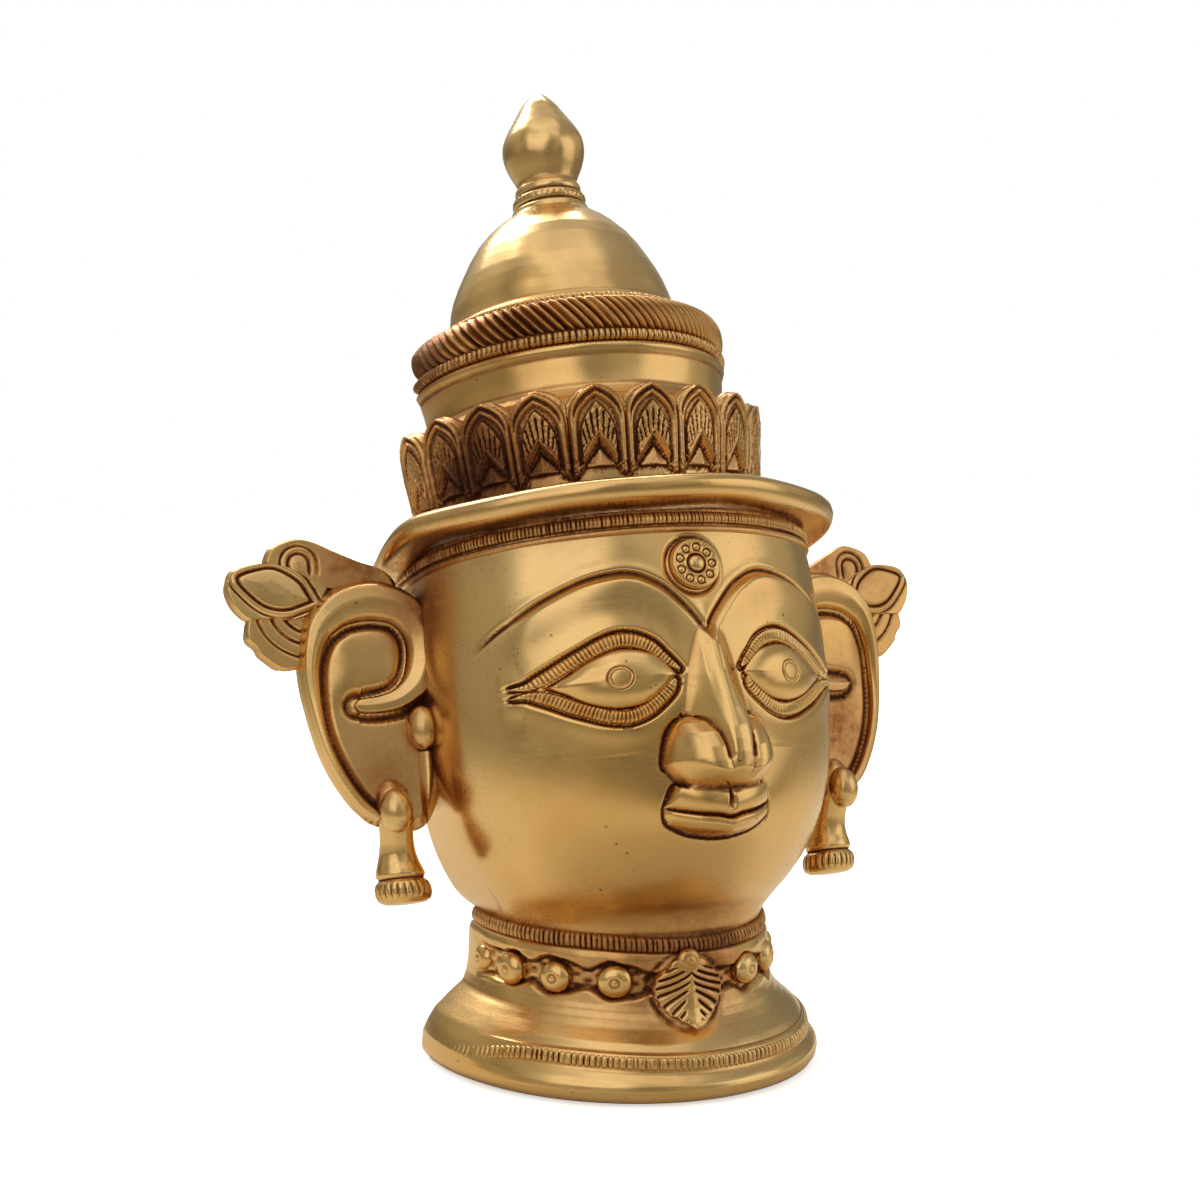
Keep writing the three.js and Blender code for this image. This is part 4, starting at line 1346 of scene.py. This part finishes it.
def noise(scale, detail, roughness, source=where):
    """An even cloudy pattern through the metal."""
    return add_node(source.id_data, "ShaderNodeTexNoise", Vector=source, Scale=scale, Detail=detail,
                    Roughness=roughness).outputs["Fac"]


def dots(scale, full, gone):
    """Small round spots, white in the middle."""
    cells = add_node(brass.node_tree, "ShaderNodeTexVoronoi", Vector=where, Scale=scale)
    return ramp(cells.outputs["Distance"], [(full, white), (gone, black)])


patina_and_shade_here = add_node(brass.node_tree, "ShaderNodeAttribute", attribute_name="tarnish").outputs["Fac"]
worn_here = add_node(brass.node_tree, "ShaderNodeAttribute", attribute_name="worn").outputs["Fac"]
clouds = noise(14, 4, 0.55)
blotches = noise(55, 5, 0.62)
specks = noise(480, 3, 0.65)
broken = maths("ADD", centred(blotches, 0.8), centred(specks, 0.7))
# This carries painted shade as well as patina, so the amber and dark colours below also lay painted shade
# in hidden places.
stain_and_shade = maths("ADD", patina_and_shade_here, maths("MULTIPLY", broken, maths("ADD", patina_and_shade_here, 0.10)), clamp=True)
amber = ramp(stain_and_shade, [(0.04, black), (0.22, (0.42, 0.42, 0.42)), (0.5, white)])
dark = ramp(stain_and_shade, [(0.42, black), (0.68, (0.62, 0.62, 0.62)), (0.95, white)])
pits = maths("MULTIPLY", dots(230, 0.06, 0.13), ramp(noise(75, 3, 0.6), [(0.54, black), (0.64, white)]))
flecks = maths("MULTIPLY", dots(420, 0.10, 0.2), ramp(noise(30, 3, 0.6), [(0.5, black), (0.68, white)]))
polished = ramp(clouds, [
    (0.32, (0.68, 0.395, 0.14)), (0.46, (0.75, 0.465, 0.185)), (0.60, (0.77, 0.50, 0.22)),
    (0.74, (0.70, 0.485, 0.225)),
])
colour = mixed(amber, polished, (0.44, 0.185, 0.062))
colour = mixed(dark, colour, (0.080, 0.026, 0.013))
colour = mixed(maths("MULTIPLY", flecks, 0.45), colour, (0.30, 0.12, 0.035))
colour = mixed(maths("MULTIPLY", pits, 0.8), colour, (0.10, 0.035, 0.015))
stretched = add_node(brass.node_tree, "ShaderNodeMapping", Vector=where, Scale=(1, 1, 11))
brushed = noise(260, 3, 0.5, stretched.outputs["Vector"])
rough = maths("ADD", 0.25, maths("MULTIPLY", amber, 0.22))
rough = maths("ADD", rough, maths("MULTIPLY", dark, 0.2))
rough = maths("ADD", rough, centred(blotches, 0.20))
rough = maths("ADD", rough, centred(brushed, 0.16))
rough = maths("SUBTRACT", rough, maths("MULTIPLY", worn_here, 0.05), clamp=True)
surface = maths("ADD", maths("MULTIPLY", clouds, 0.2), maths("MULTIPLY", blotches, 0.05))
surface = maths("ADD", surface, maths("MULTIPLY", brushed, 0.004))
surface = maths("SUBTRACT", surface, maths("MULTIPLY", pits, 0.07))
surface = maths("ADD", surface, maths("MULTIPLY", maths("MULTIPLY", specks, amber), 0.05))
bump = add_node(brass.node_tree, "ShaderNodeBump", Strength=0.8, Distance=0.001, Height=surface)
for finish, value in (("Base Color", colour), ("Roughness", rough), ("Specular IOR Level", 0.2),
                      ("Metallic", maths("SUBTRACT", 1.0, maths("MULTIPLY", dark, 0.4), clamp=True)),
                      ("Normal", bump.outputs["Normal"])):
    feed(shader.inputs[finish], value)
for piece in mask_pieces:
    piece.data.materials.clear()
    piece.data.materials.append(brass)

# Room
# A plain white floor and soft lights, as in a product picture, with the camera a little to the left of
# the front and slightly above the middle. In reflections the floor shows a painted pool of light: the
# polished brass mirrors it darker, more so far off.

bpy.ops.object.select_all(action="DESELECT")
bpy.ops.mesh.primitive_plane_add(size=8, location=(0, 0, -0.0004))
floor = bpy.context.object
floor.name = "floor"
floor_paint = bpy.data.materials.new("pale_floor")
floor_paint.use_nodes = True
floor_tree = floor_paint.node_tree
floor_shader = floor_tree.nodes["Principled BSDF"]
to_camera = add_node(floor_tree, "ShaderNodeLightPath").outputs["Is Camera Ray"]
floor_place = add_node(floor_tree, "ShaderNodeTexCoord").outputs["Object"]
from_mask = add_node(floor_tree, "ShaderNodeVectorMath", operation="LENGTH")
feed(from_mask.inputs[0], floor_place)
# Painted light: the floor's colour in reflections is a painted pool of light, bright within 0.28 m of the
# mask and dark beyond 0.62 m.
painted_light_pool = ramp(from_mask.outputs["Value"], [(0.28, (0.76, 0.72, 0.61)), (0.62, (0.34, 0.32, 0.25))])
for finish, value in (("Base Color", mixed(to_camera, painted_light_pool, (0.93, 0.93, 0.93))),
                      ("Roughness", 0.9), ("Emission Color", white),
                      ("Emission Strength", maths("MULTIPLY", to_camera, 0.58))):
    feed(floor_shader.inputs[finish], value)
floor.data.materials.append(floor_paint)

world = bpy.context.scene.world or bpy.data.worlds.new("room")
bpy.context.scene.world = world
world.use_nodes = True
room = world.node_tree
direction = add_node(room, "ShaderNodeTexCoord").outputs["Generated"]
split = add_node(room, "ShaderNodeSeparateXYZ", Vector=direction)
height = maths("MULTIPLY_ADD", split.outputs["Z"], 0.5, 0.5)
shade = ramp(height, [
    (0.44, (0.28, 0.255, 0.18)), (0.62, (0.335, 0.335, 0.26)), (0.98, (0.61, 0.62, 0.58)),
])
patches = add_node(room, "ShaderNodeTexNoise", Vector=direction, Scale=1.9, Detail=1.0).outputs["Fac"]
uneven = add_node(room, "ShaderNodeMapRange", Value=patches,
                  **{"From Min": 0.43, "From Max": 0.56, "To Min": 0.72, "To Max": 1.32})
walls = room.nodes["Background"]
feed(walls.inputs["Color"], shade)
feed(walls.inputs["Strength"], uneven.outputs["Result"])
plain = add_node(room, "ShaderNodeBackground", Color=white, Strength=1.0)
either = add_node(room, "ShaderNodeMixShader")
seen_from_camera = add_node(room, "ShaderNodeLightPath").outputs["Is Camera Ray"]
for socket, value in zip(either.inputs, (seen_from_camera, walls.outputs[0], plain.outputs[0])):
    feed(socket, value)
feed(room.nodes["World Output"].inputs["Surface"], either.outputs[0])
bpy.context.scene.view_settings.view_transform = "Standard"


def soft_light(name, place, target, size, power):
    data = bpy.data.lights.new(name, "AREA")
    data.size = size
    data.energy = power
    lamp = bpy.data.objects.new(name, data)
    bpy.context.scene.collection.objects.link(lamp)
    lamp.location = place
    lamp.rotation_euler = (Vector(target) - Vector(place)).to_track_quat("-Z", "Y").to_euler()


mask_middle = (0, 0, 0.14)
soft_light("key_light", (-0.95, -0.8, 0.8), mask_middle, 1.2, 3.1)
soft_light("fill_light", (1.0, -0.7, 0.5), mask_middle, 1.0, 2.0)
soft_light("top_light", (-0.05, -0.25, 1.2), mask_middle, 1.1, 1.4)
soft_light("floor_light", (0, 1.6, 1.6), (0, 1.4, 0), 1.5, 40)

azimuth, elevation, camera_roll = np.radians([-25.217, 4.126, 0.524]).tolist()
camera_distance = 0.639949
right = Vector((math.cos(azimuth), math.sin(azimuth), 0))
flat = math.cos(elevation)
back = Vector((math.sin(azimuth) * flat, -math.cos(azimuth) * flat, math.sin(elevation)))
target = Vector((0, 0.004, 0.131186)) - 0.005577 * right
camera_data = bpy.data.cameras.new("camera")
camera_data.lens = 66.036
camera_data.sensor_width = 36
camera = bpy.data.objects.new("camera", camera_data)
bpy.context.scene.collection.objects.link(camera)
facing = Matrix((right, back.cross(right), back)).transposed().to_4x4()
camera.matrix_world = (Matrix.Translation(target + back * camera_distance) @ facing
                       @ Matrix.Rotation(camera_roll, 4, "Z"))
bpy.context.scene.camera = camera

bpy.context.view_layer.update()
